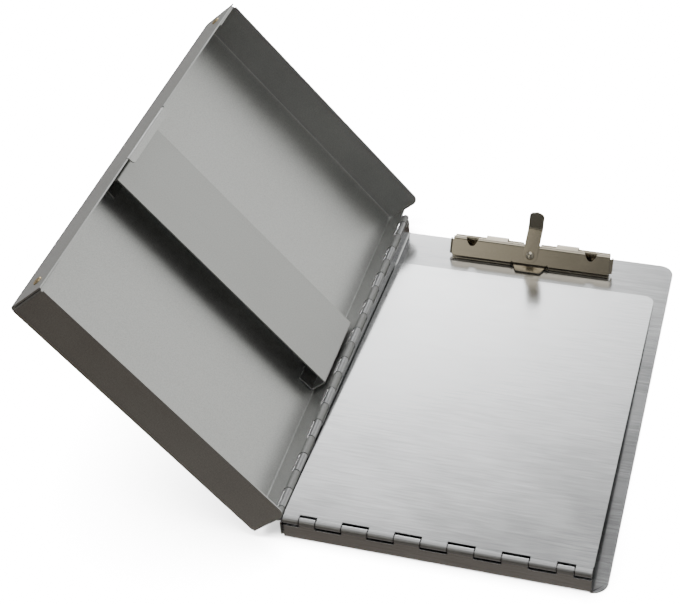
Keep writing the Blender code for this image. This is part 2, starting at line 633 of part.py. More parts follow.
def make_form_holder():
    clear_scene()
    aluminium = metal("aluminium", (0.74, 0.75, 0.75), 0.35)
    lid_aluminium = metal("lid_aluminium", (0.60, 0.60, 0.59), 0.40)
    nickel = metal("nickel", (0.62, 0.57, 0.47), 0.22)
    wire = metal("wire_steel", (0.55, 0.55, 0.54), 0.30)
    brass = metal("brass", (0.62, 0.50, 0.30), 0.35)

    make_tray(aluminium)
    make_pins(wire)
    make_writing_plate(aluminium)

    lid_axis = empty("lid_hinge_axis", (SIDE_AXIS_X, 0.0, SIDE_AXIS_Z), (0, -LID_OPEN, 0))
    make_lid(lid_aluminium, lid_axis)
    make_pocket_band(lid_aluminium, lid_axis)
    make_corner_rivets(brass, lid_axis)

    clip_base = empty("clip_base", (CLIP_X, CLIP_AXIS_Y, CLIP_AXIS_Z))
    make_bracket(nickel, clip_base)
    make_mount_rivets(nickel, clip_base)
    make_rod(wire, clip_base)
    make_spring(wire, clip_base)
    jaw_axis = empty("clip_jaw_axis", (0, 0, 0), parent=clip_base)
    make_jaw(nickel, jaw_axis)
    rivet_place = (0.0, *on_face(RIVET_DOWN_FACE, 0.0))
    face = empty("jaw_face", rivet_place, (JAW_SLOPE, 0, 0), jaw_axis)
    swivel = empty("lever_axis", (0, 0, 0), (0, 0, LEVER_LEAN), face)
    make_lever(nickel, swivel)
    make_lever_rivet(nickel, jaw_axis, rivet_place)


make_form_holder()
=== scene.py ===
"""Looks of the aluminium form holder: finished meshes for every sheet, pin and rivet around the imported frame.

Each piece is folded or turned again at a finer step than the frame's node that it stands for, with rounded
folds and broken edges, and rides on that node's body. Lengths are in millimetres in the code and become
metres as each mesh is made. The lid's pieces are made in the lid's own frame: u outwards from the hinge,
v along +Y and w away from the tray.
"""

import math

import bmesh
import bpy
import numpy as np
from mathutils import Matrix, Vector


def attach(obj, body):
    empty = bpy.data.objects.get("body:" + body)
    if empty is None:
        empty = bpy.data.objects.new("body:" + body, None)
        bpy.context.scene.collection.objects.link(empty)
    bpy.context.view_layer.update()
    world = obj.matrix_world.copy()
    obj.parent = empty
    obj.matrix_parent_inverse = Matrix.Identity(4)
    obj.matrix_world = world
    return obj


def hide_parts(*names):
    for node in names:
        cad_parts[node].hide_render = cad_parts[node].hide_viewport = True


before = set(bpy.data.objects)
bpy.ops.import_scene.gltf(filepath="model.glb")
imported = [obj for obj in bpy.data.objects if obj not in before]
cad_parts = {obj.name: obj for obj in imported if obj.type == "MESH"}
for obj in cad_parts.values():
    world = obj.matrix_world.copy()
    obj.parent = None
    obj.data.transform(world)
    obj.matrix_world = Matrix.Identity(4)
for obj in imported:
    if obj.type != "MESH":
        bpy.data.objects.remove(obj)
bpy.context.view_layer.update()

MM = 0.001
SHEET = 0.8  # the aluminium's thickness
GAP = 0.3  # between neighbouring pieces
FOLD_RADIUS = 1.5
FOLD_STEPS = 8
BROKEN_EDGE = 0.1  # how far the sheets' cut edges are broken
SHARP_ANGLE = 40.0  # an edge turned by more than this many degrees is sharp, and is broken

TRAY_HALF_WIDTH = 82.0
TRAY_HALF_LENGTH = 130.0
TRAY_CORNER_RADIUS = 8.0
CORNER_STEPS = 16

KNUCKLE_INNER = 1.2
KNUCKLE_OUTER = KNUCKLE_INNER + SHEET
KNUCKLE_ROLL = 295.0  # degrees
KNUCKLE_STEPS = 36
PIN_RADIUS = 0.9
KNUCKLE_GAP = 0.5
SIDE_NOTCH_REACH = 2.3
FRONT_NOTCH_REACH = 2.6

SIDE_AXIS_X = -TRAY_HALF_WIDTH - KNUCKLE_INNER
SIDE_AXIS_Z = 12.7
SIDE_HINGE_HALF = 129.7
SIDE_PITCH = 12.9
SIDE_FULL_KNUCKLES = 19

FRONT_AXIS_Y = -TRAY_HALF_LENGTH + KNUCKLE_OUTER
FRONT_AXIS_Z = 11.5
FRONT_LEFT = -80.7
FRONT_RIGHT = 74.7
FRONT_END_KNUCKLE = 8.6
FRONT_FULL_KNUCKLES = 9

PLATE_FAR_Y = 98.0
PLATE_CORNER_RADIUS = 6.0
PLATE_LEFT_CORNER_RADIUS = 2.0

LID_OPEN = 131.2  # degrees from shut
LID_PANEL_W = 15.6
LID_RIM_W = -9.8
LID_NEAR_V = -133.5
LID_FAR_V = 138.7
LID_OUTER_U = TRAY_HALF_WIDTH - SIDE_AXIS_X + 3.1
LID_HEEL_RADIUS = 5.0
TAB_LENGTH = 23.0
TAB_TOP_W = 12.0
TAB_BOTTOM_W = -8.8
LIP_NEAR_V, LIP_FAR_V = -25.0, 24.0
LIP_REACH = 4.8
LIP_FOLD = 1.0
LIP_CORNER = 2.5
RELIEF = 1.0
SEAM = 0.1
CORNER_RIVET_INSET = 11.5
CORNER_RIVET_W = 0.0
CORNER_RIVET_HEAD = (2.6, 1.1)  # the rivets' heads and tails by radius and height
CORNER_RIVET_TAIL = (1.9, 0.9)
RIVET_SHANK, RIVET_HOLE = 1.2, 1.3  # radii

BAND_NEAR_V, BAND_FAR_V = -28.5, 23.0
BAND_FACE_W = 2.5
BAND_LEG_SLANT = 3.3  # of the leg beside the long wall; the one beside the hinge is square
BAND_FOOT = 10.8
BAND_FOLD = 1.4
BAND_HINGE_GAP, BAND_WALL_GAP = 1.2, 0.4

CLIP_X = -2.2
CLIP_AXIS_Y = 121.0
CLIP_AXIS_Z = 9.6
CLIP_HALF = 48.5
ROD_RADIUS = 0.9
JAW_SHEET = 0.9
JAW_KNUCKLE_OUTER = 2.1
JAW_KNUCKLES = ((-28.0, -14.7), (14.7, 28.0))
JAW_SLOPE = 60.0  # degrees
JAW_FACE_TOP_Y = -4.0
JAW_FACE_LENGTH = 10.6
JAW_FOLD = 1.0
EAR_FOLD = 0.95
EAR_TOP, EAR_BOTTOM = 0.8, JAW_FACE_LENGTH - 1.0  # how far down the face the folded ends reach
EAR_BACK_Y, EAR_BACK_Z = -2.6, -1.0
NOSE_ROOT_HALF, NOSE_TIP_HALF = 10.0, 7.5
NOSE_REACH = 6.5
NOSE_DROP = 0.45
NOSE_CORNER = 1.2
JAW_LIP_REACH = 0.8
JAW_LIP_DROP = 0.4
ACCESS_NOTCH_X = 36.0
ACCESS_NOTCH_Y = -2.8
ACCESS_NOTCH_RADIUS = 3.8
BRACKET_SHEET = 0.6
BRACKET_OUTER = 1.8
BRACKET_HALF = 47.0
BRACKET_LUGS = ((-47.0, -28.3), (-14.4, -5.4), (5.4, 14.4), (28.3, 47.0))
BRACKET_FRONT_Y = -7.8
BRACKET_NOTCH_REACH = 2.9
BRACKET_FOLD = 1.2
MOUNT_SHANK, MOUNT_HOLE = 1.4, 1.5  # radii
MOUNT_RIVET_HEAD = (2.4, 1.3)

LEVER_SHEET = 0.9
LEVER_HALF_WIDTH = 4.5
LEVER_LEAN = -5.0  # degrees
LEVER_STRAIGHT = 16.0
LEVER_TIP = 11.7
LEVER_TIP_CORNER = 3.0
LEVER_TIP_CROWN = 0.6  # how far the tip's middle stands out past its corners
LEVER_BEND = 30.0  # degrees
LEVER_BEND_RADIUS = 2.0
LEVER_EDGE = 0.18
LEVER_RIVET_HEAD = (2.6, 1.5 + GAP)
LEVER_RIVET_TAIL = (1.8, 1.3)
RIVET_DOWN_FACE = 4.85

SPRING_MEAN_RADIUS = 1.75
SPRING_WIRE_RADIUS = 0.35
SPRING_HALF = 4.5
SPRING_TURNS = 6
SPRING_LEG_ANGLE = 49.0  # degrees short of whole turns where the front leg leaves the coil
SPRING_FOOT_RISE = 0.6
SPRING_LEG_END = (RIVET_DOWN_FACE - 2.5, -1.9)  # down the jaw's face and out from it

TURNED_SIDES = 48


# ---------------------------------------------------------------------------------------------- meshes


def empty_frame(location, rotation=(0.0, 0.0, 0.0), parent=None):
    """A frame at a place in millimetres and an angle in degrees, as a matrix in metres."""
    turn = Matrix.Identity(4)
    for axis, angle in zip("XYZ", rotation):
        turn = Matrix.Rotation(math.radians(angle), 4, axis) @ turn
    return (parent or Matrix.Identity(4)) @ Matrix.Translation(Vector(location) * MM) @ turn


def mesh_object(name, shape, place):
    """An object in metres from a bmesh in millimetres."""
    bmesh.ops.scale(shape, vec=(MM, MM, MM), verts=shape.verts)
    mesh = bpy.data.meshes.new(name)
    shape.to_mesh(mesh)
    shape.free()
    piece = bpy.data.objects.new(name, mesh)
    piece.matrix_world = place
    bpy.context.scene.collection.objects.link(piece)
    return piece


def add_shapes(mesh, shapes):
    """Adds closed shapes in millimetres to a mesh in metres."""
    whole = bmesh.new()
    whole.from_mesh(mesh)
    for shape in shapes:
        bmesh.ops.scale(shape, vec=(MM, MM, MM), verts=shape.verts)
        addition = bpy.data.meshes.new("addition")
        shape.to_mesh(addition)
        shape.free()
        whole.from_mesh(addition)
        bpy.data.meshes.remove(addition)
    whole.to_mesh(mesh)
    whole.free()


def finished(name, shape, place, material, node, body, holes=(), edge=BROKEN_EDGE, extras=()):
    """Drills a shape, adds extras, breaks its edges and puts it in place of a CAD node, on a body."""
    piece = mesh_object(name, shape, place)
    cutters = []
    for radius, centre, along, reach in holes:
        cutters.append(mesh_object("cutter", hole_cutter(radius, centre, along, reach), place))
        cut = piece.modifiers.new("drill", "BOOLEAN")
        cut.solver = "EXACT"
        cut.object = cutters[-1]
    if cutters:
        bpy.context.view_layer.update()
        evaluated = piece.evaluated_get(bpy.context.evaluated_depsgraph_get())
        piece.data = bpy.data.meshes.new_from_object(evaluated)
        piece.modifiers.clear()
        for cutter in cutters:
            bpy.data.objects.remove(cutter)
    if extras:
        add_shapes(piece.data, extras)
    piece.data.shade_smooth()
    piece.data.set_sharp_from_angle(angle=math.radians(SHARP_ANGLE))
    if edge:
        bevel = piece.modifiers.new("broken edge", "BEVEL")
        bevel.width = edge * MM
        bevel.segments = 2
        bevel.limit_method = "ANGLE"
        bevel.angle_limit = math.radians(SHARP_ANGLE)
        bevel.use_clamp_overlap = False
        weigh = piece.modifiers.new("flat faces stay flat", "WEIGHTED_NORMAL")
        weigh.weight = 80
    piece.data.materials.clear()
    piece.data.materials.append(material)
    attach(piece, body)
    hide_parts(node)
    return piece


def arc(centre, radius, start, end, steps):
    """Points on an arc between two angles in degrees, both ends included."""
    angles = np.radians(np.linspace(start, end, steps + 1))
    return [(centre[0] + radius * math.cos(a), centre[1] + radius * math.sin(a)) for a in angles]


def filleted(points, radii, steps):
    """A line of section points with each inner corner rounded about the centre that its radius sets.

    Known fault: slerp gives unit vectors, so each arc is 1 mm in radius. Where another radius is asked
    for, the arc's ends leave the line. That moves the pocket band's faces by 0.4 mm, and leaves the jaw's
    lips and nose unjoined. The spoke should be as long as the radius.
    """
    line = [Vector(p) for p in points]
    rounded = [tuple(line[0])]
    for before, corner, after, radius in zip(line, line[1:], line[2:], radii):
        back, on = (before - corner).normalized(), (after - corner).normalized()
        half = back.angle(on) / 2
        centre = corner + (back + on).normalized() * (radius / math.sin(half))
        setback = radius / math.tan(half)
        start, end = corner + back * setback - centre, corner + on * setback - centre
        for i in range(steps + 1):
            spoke = start.slerp(end, i / steps)
            rounded.append(tuple(centre + spoke))
    rounded.append(tuple(line[-1]))
    return rounded


def span(low, high, between=()):
    """Sorted stations from low to high, with those of between that lie inside."""
    return sorted({low, high, *(s for s in between if low < s < high)})


def strip(rows, low, high, place):
    """Quads that carry a line of section points from one station to another."""
    return [[place(a, low), place(b, low), place(b, high), place(a, high)] for a, b in zip(rows, rows[1:])]


def folded_sheet(faces, thickness, outside):
    """Closes a folded surface into sheet metal, thick on the side away from outside."""
    shape = bmesh.new()
    for corners in faces:
        shape.faces.new([shape.verts.new(c) for c in corners])
    bmesh.ops.remove_doubles(shape, verts=shape.verts, dist=0.001)
    bmesh.ops.recalc_face_normals(shape, faces=shape.faces)
    shape.normal_update()
    out = Vector(outside)
    guide = max(shape.faces, key=lambda f: (round(f.calc_center_median().dot(out), 3), f.calc_area()))
    if guide.normal.dot(out) < 0:
        bmesh.ops.reverse_faces(shape, faces=shape.faces)
        shape.normal_update()
    front = list(shape.faces)
    rim = [(e.link_loops[0].vert, e.link_loops[0].link_loop_next.vert) for e in shape.edges if e.is_boundary]
    back = {}
    for vert in list(shape.verts):
        normals = np.array([f.normal for f in vert.link_faces])
        move = np.linalg.lstsq(normals, np.full(len(normals), -thickness), rcond=1e-3)[0]
        back[vert] = shape.verts.new(vert.co + Vector(move))
    for face in front:
        shape.faces.new([back[v] for v in reversed(face.verts)])
    for a, b in rim:
        shape.faces.new([b, a, back[a], back[b]])
    return shape


def turned(rings, sides=TURNED_SIDES):
    """A turned solid about +Z from its (radius, height) rings, lowest first."""
    shape = bmesh.new()
    circles = []
    for radius, height in rings:
        turns = [2.0 * math.pi * i / sides for i in range(sides)]
        circles.append([shape.verts.new((radius * math.cos(t), radius * math.sin(t), height)) for t in turns])
    shape.faces.new(list(reversed(circles[0])))
    shape.faces.new(circles[-1])
    for low, high in zip(circles, circles[1:]):
        for i in range(sides):
            j = (i + 1) % sides
            shape.faces.new([low[i], low[j], high[j], high[i]])
    return shape


def hole_cutter(radius, centre, along, reach):
    """A round cutter about a point and direction in the piece's own frame."""
    shape = turned([(radius, -reach), (radius, reach)])
    turn = Vector((0.0, 0.0, 1.0)).rotation_difference(Vector(along)).to_matrix().to_4x4()
    bmesh.ops.transform(shape, matrix=Matrix.Translation(Vector(centre)) @ turn, verts=shape.verts)
    return shape


def rivet_shape(shank, bottom, head_bottom, head, tail=None):
    """A domed rivet about +Z: its shank, a head on top and, if given, a tail, both by radius and height."""
    rings = [(shank, bottom)]
    if tail:
        radius, height = tail
        rings = [(radius - 0.3, bottom), (radius, bottom + 0.25)]
        rings += [(radius, bottom + height), (shank, bottom + height)]
    radius, height = head
    rim = 0.08
    rings += [(shank, head_bottom), (radius - 0.05, head_bottom), (radius, head_bottom + rim)]
    for angle in range(8, 88, 8):
        rise = math.radians(angle)
        rings.append((radius * math.cos(rise), head_bottom + rim + (height - rim) * math.sin(rise)))
    return turned(rings)


def wire_shape(radius, half):
    """A straight wire about +Z with broken ends."""
    bevel = 0.15
    lower = [(radius - bevel, -half), (radius, bevel - half)]
    upper = [(radius, half - bevel), (radius - bevel, half)]
    return turned(lower + upper)


def knuckle_spans(bounds, first):
    """Every second interval of a hinge, less half the gap to its neighbours."""
    pairs = list(zip(bounds, bounds[1:]))[first::2]
    return [(a + KNUCKLE_GAP / 2, b - KNUCKLE_GAP / 2) for a, b in pairs]


def leaf(section, notch_points, stations, knuckles, place):
    """A hinge leaf: the whole section at its knuckles, and only its first points beside them."""
    faces = []
    for low, high in zip(stations, stations[1:]):
        middle = (low + high) / 2
        rolled = any(a < middle < b for a, b in knuckles)
        faces += strip(section if rolled else section[:notch_points], low, high, place)
    return faces


def side_bounds():
    """Where the knuckles of the lid's hinge meet, along Y."""
    half = SIDE_PITCH * SIDE_FULL_KNUCKLES / 2
    inner = [-half + SIDE_PITCH * i for i in range(SIDE_FULL_KNUCKLES + 1)]
    return [-SIDE_HINGE_HALF, *inner, SIDE_HINGE_HALF]


def front_bounds():
    """Where the knuckles of the writing plate's hinge meet, along X."""
    ends = [FRONT_LEFT + FRONT_END_KNUCKLE * i for i in range(2)]
    start = FRONT_LEFT + 2 * FRONT_END_KNUCKLE
    stop = FRONT_RIGHT - 2 * FRONT_END_KNUCKLE
    pitch = (stop - start) / FRONT_FULL_KNUCKLES
    inner = [start + pitch * i for i in range(FRONT_FULL_KNUCKLES + 1)]
    return [*ends, *inner, FRONT_RIGHT - FRONT_END_KNUCKLE, FRONT_RIGHT]


# ------------------------------------------------------------------------------------- tray and plate


def make_tray(material):
    """The base, its hinge wall on the left and its lower wall at the near end."""
    left_fold = -TRAY_HALF_WIDTH + FOLD_RADIUS
    near_fold = -TRAY_HALF_LENGTH + FOLD_RADIUS
    side_knuckles = knuckle_spans(side_bounds(), 1)
    side_start = near_fold + GAP
    side = span(side_start, TRAY_HALF_LENGTH, [s for pair in side_knuckles for s in pair])
    side_section = arc((left_fold, FOLD_RADIUS), FOLD_RADIUS, 270, 180, FOLD_STEPS)
    side_section.append((-TRAY_HALF_WIDTH, SIDE_AXIS_Z - SIDE_NOTCH_REACH))
    side_section += arc((SIDE_AXIS_X, SIDE_AXIS_Z), KNUCKLE_INNER, 0, KNUCKLE_ROLL, KNUCKLE_STEPS)
    straight = side_section[FOLD_STEPS : FOLD_STEPS + 2]

    front_knuckles = knuckle_spans(front_bounds(), 1)
    front_start = left_fold + GAP
    front = span(front_start, FRONT_RIGHT, [s for pair in front_knuckles for s in pair])
    front_section = arc((near_fold, FOLD_RADIUS), FOLD_RADIUS, 270, 180, FOLD_STEPS)
    front_section.append((-TRAY_HALF_LENGTH, FRONT_AXIS_Z - FRONT_NOTCH_REACH))
    front_axis = (FRONT_AXIS_Y, FRONT_AXIS_Z)
    front_section += arc(front_axis, KNUCKLE_OUTER, 180, 180 - KNUCKLE_ROLL, KNUCKLE_STEPS)

    def on_side(point, y):
        return (point[0], y, point[1])

    def on_front(point, x):
        return (x, point[0], point[1])

    corner_x = TRAY_HALF_WIDTH - TRAY_CORNER_RADIUS
    corner_y = TRAY_HALF_LENGTH - TRAY_CORNER_RADIUS
    base = [(left_fold, near_fold)]
    base += [(x, near_fold) for x in front]
    base += [(FRONT_RIGHT + GAP, near_fold), (FRONT_RIGHT + GAP, -TRAY_HALF_LENGTH)]
    base += arc((corner_x, -corner_y), TRAY_CORNER_RADIUS, -90, 0, CORNER_STEPS)
    base += arc((corner_x, corner_y), TRAY_CORNER_RADIUS, 0, 90, CORNER_STEPS)
    base += [(left_fold, y) for y in reversed(side)]
    faces = [[(x, y, 0.0) for x, y in base]]
    faces += leaf(side_section, FOLD_STEPS + 2, side, side_knuckles, on_side)
    faces += strip(straight, -SIDE_HINGE_HALF, side_start, on_side)
    faces += leaf(front_section, FOLD_STEPS + 2, front, front_knuckles, on_front)
    shape = folded_sheet(faces, SHEET, (0, 0, -1))
    holes = []
    for sign in (-1, 1):
        centre = (CLIP_X + sign * ACCESS_NOTCH_X, CLIP_AXIS_Y + ACCESS_NOTCH_Y, 0.0)
        holes.append((MOUNT_HOLE, centre, (0, 0, 1), 4.0))
    finished("tray_sheet", shape, Matrix.Identity(4), material, "tray", "tray_base", holes)


def make_pins(material):
    """The two straight wires that the rolled knuckles turn on."""
    side = empty_frame((SIDE_AXIS_X, 0.0, SIDE_AXIS_Z), (-90, 0, 0))
    shape = wire_shape(PIN_RADIUS, SIDE_HINGE_HALF)
    finished("side_pin_wire", shape, side, material, "side_hinge_pin", "side_pin", edge=0)
    front = empty_frame(((FRONT_LEFT + FRONT_RIGHT) / 2, FRONT_AXIS_Y, FRONT_AXIS_Z), (0, 90, 0))
    shape = wire_shape(PIN_RADIUS, (FRONT_RIGHT - FRONT_LEFT) / 2 - 0.2)
    finished("plate_pin_wire", shape, front, material, "plate_hinge_pin", "plate_pin", edge=0)


def plate_angle():
    """Degrees by which the writing plate slopes down to lie one gap above the tray's floor."""
    length = PLATE_FAR_Y - FRONT_AXIS_Y
    drop = FRONT_AXIS_Z - SHEET - GAP
    slope = math.asin(drop / math.hypot(length, KNUCKLE_INNER))
    return math.degrees(slope + math.atan2(KNUCKLE_INNER, length))


def make_writing_plate(material):
    """The flat plate that forms lie on, rolled into knuckles along its near edge."""
    knuckles = knuckle_spans(front_bounds(), 0)
    stations = span(FRONT_LEFT, FRONT_RIGHT, [s for pair in knuckles for s in pair])
    section = [(FRONT_NOTCH_REACH + 1.0, KNUCKLE_OUTER), (FRONT_NOTCH_REACH, KNUCKLE_OUTER)]
    section += arc((0.0, 0.0), KNUCKLE_OUTER, 90, 90 + KNUCKLE_ROLL, KNUCKLE_STEPS)

    def place(point, x):
        return (x, point[0], point[1])

    length = (PLATE_FAR_Y - FRONT_AXIS_Y) / math.cos(math.radians(plate_angle()))
    far_right = (FRONT_RIGHT - PLATE_CORNER_RADIUS, length - PLATE_CORNER_RADIUS)
    outline = [(x, section[0][0]) for x in stations]
    outline += arc(far_right, PLATE_CORNER_RADIUS, 0, 90, CORNER_STEPS)
    far_left = (FRONT_LEFT + PLATE_LEFT_CORNER_RADIUS, length - PLATE_LEFT_CORNER_RADIUS)
    outline += arc(far_left, PLATE_LEFT_CORNER_RADIUS, 90, 180, 6)
    faces = [[(x, y, KNUCKLE_OUTER) for x, y in outline]]
    faces += leaf(section, 2, stations, knuckles, place)
    shape = folded_sheet(faces, SHEET, (0, 1, 0.5))
    hinge = empty_frame((0.0, FRONT_AXIS_Y, FRONT_AXIS_Z), (-plate_angle(), 0, 0))
    finished("writing_plate_sheet", shape, hinge, material, "writing_plate", "plate")


# --------------------------------------------------------------------------------------------- the lid


def end_wall(end_v):
    """One end wall of the lid, with the fold that joins it to the panel and its tab behind the long wall."""
    inwards = -math.copysign(1.0, end_v)
    fold_u = KNUCKLE_INNER + FOLD_RADIUS
    tab_u = LID_OUTER_U - SHEET - GAP
    bend_u = tab_u - FOLD_RADIUS
    fold_w = LID_PANEL_W - FOLD_RADIUS
    bend = arc((FOLD_RADIUS, fold_w), FOLD_RADIUS, 90, 180, FOLD_STEPS)

    def along(point, u):
        return (u, end_v + inwards * point[0], point[1])

    def upright(point, w):
        return (point[0], end_v + inwards * point[1], w)

    heel = arc((KNUCKLE_INNER + LID_HEEL_RADIUS, LID_RIM_W + LID_HEEL_RADIUS), LID_HEEL_RADIUS, 270, 180, 12)
    wall = [(fold_u + GAP, fold_w), (bend_u, fold_w), (bend_u, TAB_TOP_W), (bend_u, TAB_BOTTOM_W)]
    wall += [(bend_u, LID_RIM_W), *heel, (KNUCKLE_INNER, fold_w)]
    faces = strip(bend, fold_u + GAP, bend_u, along)
    faces.append([(u, end_v, w) for u, w in wall])
    tab = arc((bend_u, FOLD_RADIUS), FOLD_RADIUS, -90, 0, FOLD_STEPS)
    tab.append((tab_u, TAB_LENGTH))
    faces += strip(tab, TAB_BOTTOM_W, TAB_TOP_W, upright)
    return faces


def long_wall():
    """The lid's long wall opposite the hinge, with the lip in the middle of its rim."""
    fold_u = LID_OUTER_U - FOLD_RADIUS
    near_fold = LID_NEAR_V + FOLD_RADIUS + GAP
    far_fold = LID_FAR_V - FOLD_RADIUS - GAP
    fold_w = LID_PANEL_W - FOLD_RADIUS
    bend = arc((fold_u, fold_w), FOLD_RADIUS, 90, 0, FOLD_STEPS)

    def place(point, v):
        return (point[0], v, point[1])

    faces = strip(bend, near_fold, far_fold, place)
    near_end, far_end = LID_NEAR_V + SEAM, LID_FAR_V - SEAM
    lip_w = LID_RIM_W + LIP_FOLD
    relief_w = lip_w + RELIEF
    wall = [(near_fold, fold_w), (far_fold, fold_w), (far_end, fold_w - GAP), (far_end, LID_RIM_W)]
    wall += [(LIP_FAR_V + RELIEF, LID_RIM_W), (LIP_FAR_V + RELIEF, relief_w), (LIP_FAR_V, relief_w)]
    wall += [(LIP_FAR_V, lip_w), (LIP_NEAR_V, lip_w), (LIP_NEAR_V, relief_w)]
    wall += [(LIP_NEAR_V - RELIEF, relief_w), (LIP_NEAR_V - RELIEF, LID_RIM_W)]
    wall += [(near_end, LID_RIM_W), (near_end, fold_w - GAP)]
    faces.append([(LID_OUTER_U, v, w) for v, w in wall])
    lip_fold = arc((LID_OUTER_U - LIP_FOLD, lip_w), LIP_FOLD, 0, -90, FOLD_STEPS)
    faces += strip(lip_fold, LIP_NEAR_V, LIP_FAR_V, place)
    edge = LID_OUTER_U - LIP_REACH + LIP_CORNER
    lip = [(LID_OUTER_U - LIP_FOLD, LIP_NEAR_V), (LID_OUTER_U - LIP_FOLD, LIP_FAR_V)]
    lip += arc((edge, LIP_FAR_V - LIP_CORNER), LIP_CORNER, 90, 180, 10)
    lip += arc((edge, LIP_NEAR_V + LIP_CORNER), LIP_CORNER, 180, 270, 10)
    faces.append([(u, v, LID_RIM_W) for u, v in lip])
    return faces


def fold_corner(centre, radii, foot_w):
    """The small rounded shell that closes a corner between two of the lid's folds.

    It is an eighth of an ellipsoid about a centre (u, v, w), whose signed radii give the way it faces,
    carried down from the ellipsoid's rim to foot_w.
    """
    steps = 6
    rows = []
    for i in range(steps + 1):
        rise = math.radians(90.0 - 90.0 * i / steps)
        rows.append((math.cos(rise), centre[2] + radii[2] * math.sin(rise)))
    rows.append((1.0, foot_w))

    def point(row, turn):
        reach, w = row
        u = centre[0] + radii[0] * reach * math.cos(turn)
        v = centre[1] + radii[1] * reach * math.sin(turn)
        return (u, v, w)

    turns = [math.pi / 2 * i / steps for i in range(steps + 1)]
    faces = []
    for upper, lower in zip(rows, rows[1:]):
        for a, b in zip(turns, turns[1:]):
            corners = [point(upper, a), point(lower, a), point(lower, b), point(upper, b)]
            faces.append(corners[:3] if upper is rows[0] else corners)
    return folded_sheet(faces, SHEET, (0, 0, 1))


def make_lid(material, hinge):
    """The lid's one sheet: a panel folded up on four sides, with its folds' corners closed."""
    fold_u = KNUCKLE_INNER + FOLD_RADIUS
    near_fold, far_fold = LID_NEAR_V + FOLD_RADIUS, LID_FAR_V - FOLD_RADIUS
    near_end, far_end = near_fold + GAP, far_fold - GAP
    fold_w = LID_PANEL_W - FOLD_RADIUS
    bend_u = LID_OUTER_U - SHEET - GAP - FOLD_RADIUS
    knuckles = knuckle_spans(side_bounds(), 0)
    stations = span(near_end, far_end, [s for pair in knuckles for s in pair])
    section = arc((fold_u, fold_w), FOLD_RADIUS, 90, 180, FOLD_STEPS)
    section.append((KNUCKLE_INNER, SIDE_NOTCH_REACH))
    section += arc((0.0, 0.0), KNUCKLE_INNER, 0, -KNUCKLE_ROLL, KNUCKLE_STEPS)

    def place(point, v):
        return (point[0], v, point[1])

    outer_fold = LID_OUTER_U - FOLD_RADIUS
    panel = [(fold_u, near_fold), (fold_u + GAP, near_fold), (bend_u, near_fold), (outer_fold, near_fold)]
    panel += [(outer_fold, near_end), (outer_fold, far_end), (outer_fold, far_fold), (bend_u, far_fold)]
    panel += [(fold_u + GAP, far_fold), (fold_u, far_fold)]
    panel += [(fold_u, v) for v in reversed(stations)]
    faces = [[(u, v, LID_PANEL_W) for u, v in panel]]
    faces += leaf(section, FOLD_STEPS + 2, stations, knuckles, place)
    faces += end_wall(LID_NEAR_V) + end_wall(LID_FAR_V) + long_wall()
    shape = folded_sheet(faces, SHEET, (0, 0, 1))
    corners = []
    for wall_v, v in ((LID_NEAR_V, near_end), (LID_FAR_V, far_end)):
        for wall_u, u in ((KNUCKLE_INNER, fold_u + GAP), (LID_OUTER_U, bend_u)):
            radii = (wall_u - u, wall_v - v, FOLD_RADIUS)
            corners.append(fold_corner((u, v, fold_w), radii, TAB_TOP_W))
    holes = []
    for v in (LID_NEAR_V + CORNER_RIVET_INSET, LID_FAR_V - CORNER_RIVET_INSET):
        holes.append((RIVET_HOLE, (LID_OUTER_U, v, CORNER_RIVET_W), (1, 0, 0), 4.0))
    finished("lid_sheet", shape, hinge, material, "lid_shell", "lid", holes, extras=corners)


def make_pocket_band(material, hinge):
    """The band across the lid that holds papers against the panel, on feet turned under its ends."""
    foot_w = LID_PANEL_W - SHEET - GAP
    start_u = KNUCKLE_OUTER + BAND_HINGE_GAP
    stop_u = LID_OUTER_U - SHEET - BAND_WALL_GAP
    section = [(start_u + BAND_FOOT, foot_w), (start_u, foot_w), (start_u, BAND_FACE_W)]
    section += [(stop_u - BAND_LEG_SLANT, BAND_FACE_W), (stop_u, foot_w), (stop_u - BAND_FOOT, foot_w)]
    section = filleted(section, 4 * [BAND_FOLD], FOLD_STEPS)

    def place(point, v):
        return (point[0], v, point[1])

    faces = strip(section, BAND_NEAR_V, BAND_FAR_V, place)
    shape = folded_sheet(faces, SHEET, (0, 0, -1))
    finished("pocket_band_sheet", shape, hinge, material, "pocket_band", "lid")


def make_corner_rivets(material, hinge):
    """A rivet through each end wall's tab and the long wall, its head and tail drawn tight."""
    inner = -(2 * SHEET + GAP)
    places = {
        "corner_rivet_near": LID_NEAR_V + CORNER_RIVET_INSET,
        "corner_rivet_far": LID_FAR_V - CORNER_RIVET_INSET,
    }
    for node, v in places.items():
        bottom = inner - CORNER_RIVET_TAIL[1]
        shape = rivet_shape(RIVET_SHANK, bottom, 0.0, CORNER_RIVET_HEAD, CORNER_RIVET_TAIL)
        place = empty_frame((LID_OUTER_U, v, CORNER_RIVET_W), (0, 90, 0), hinge)
        finished(node + "_dome", shape, place, material, node, "lid", edge=0)


# -------------------------------------------------------------------------------------------- the clip


def on_face(down, out):
    """A point (y, z) of the jaw's section, so far down its sloping face and so far out from it."""
    slope = math.radians(JAW_SLOPE)
    y = JAW_FACE_TOP_Y - down * math.cos(slope) - out * math.sin(slope)
    z = JAW_KNUCKLE_OUTER - down * math.sin(slope) + out * math.cos(slope)
    return (y, z)


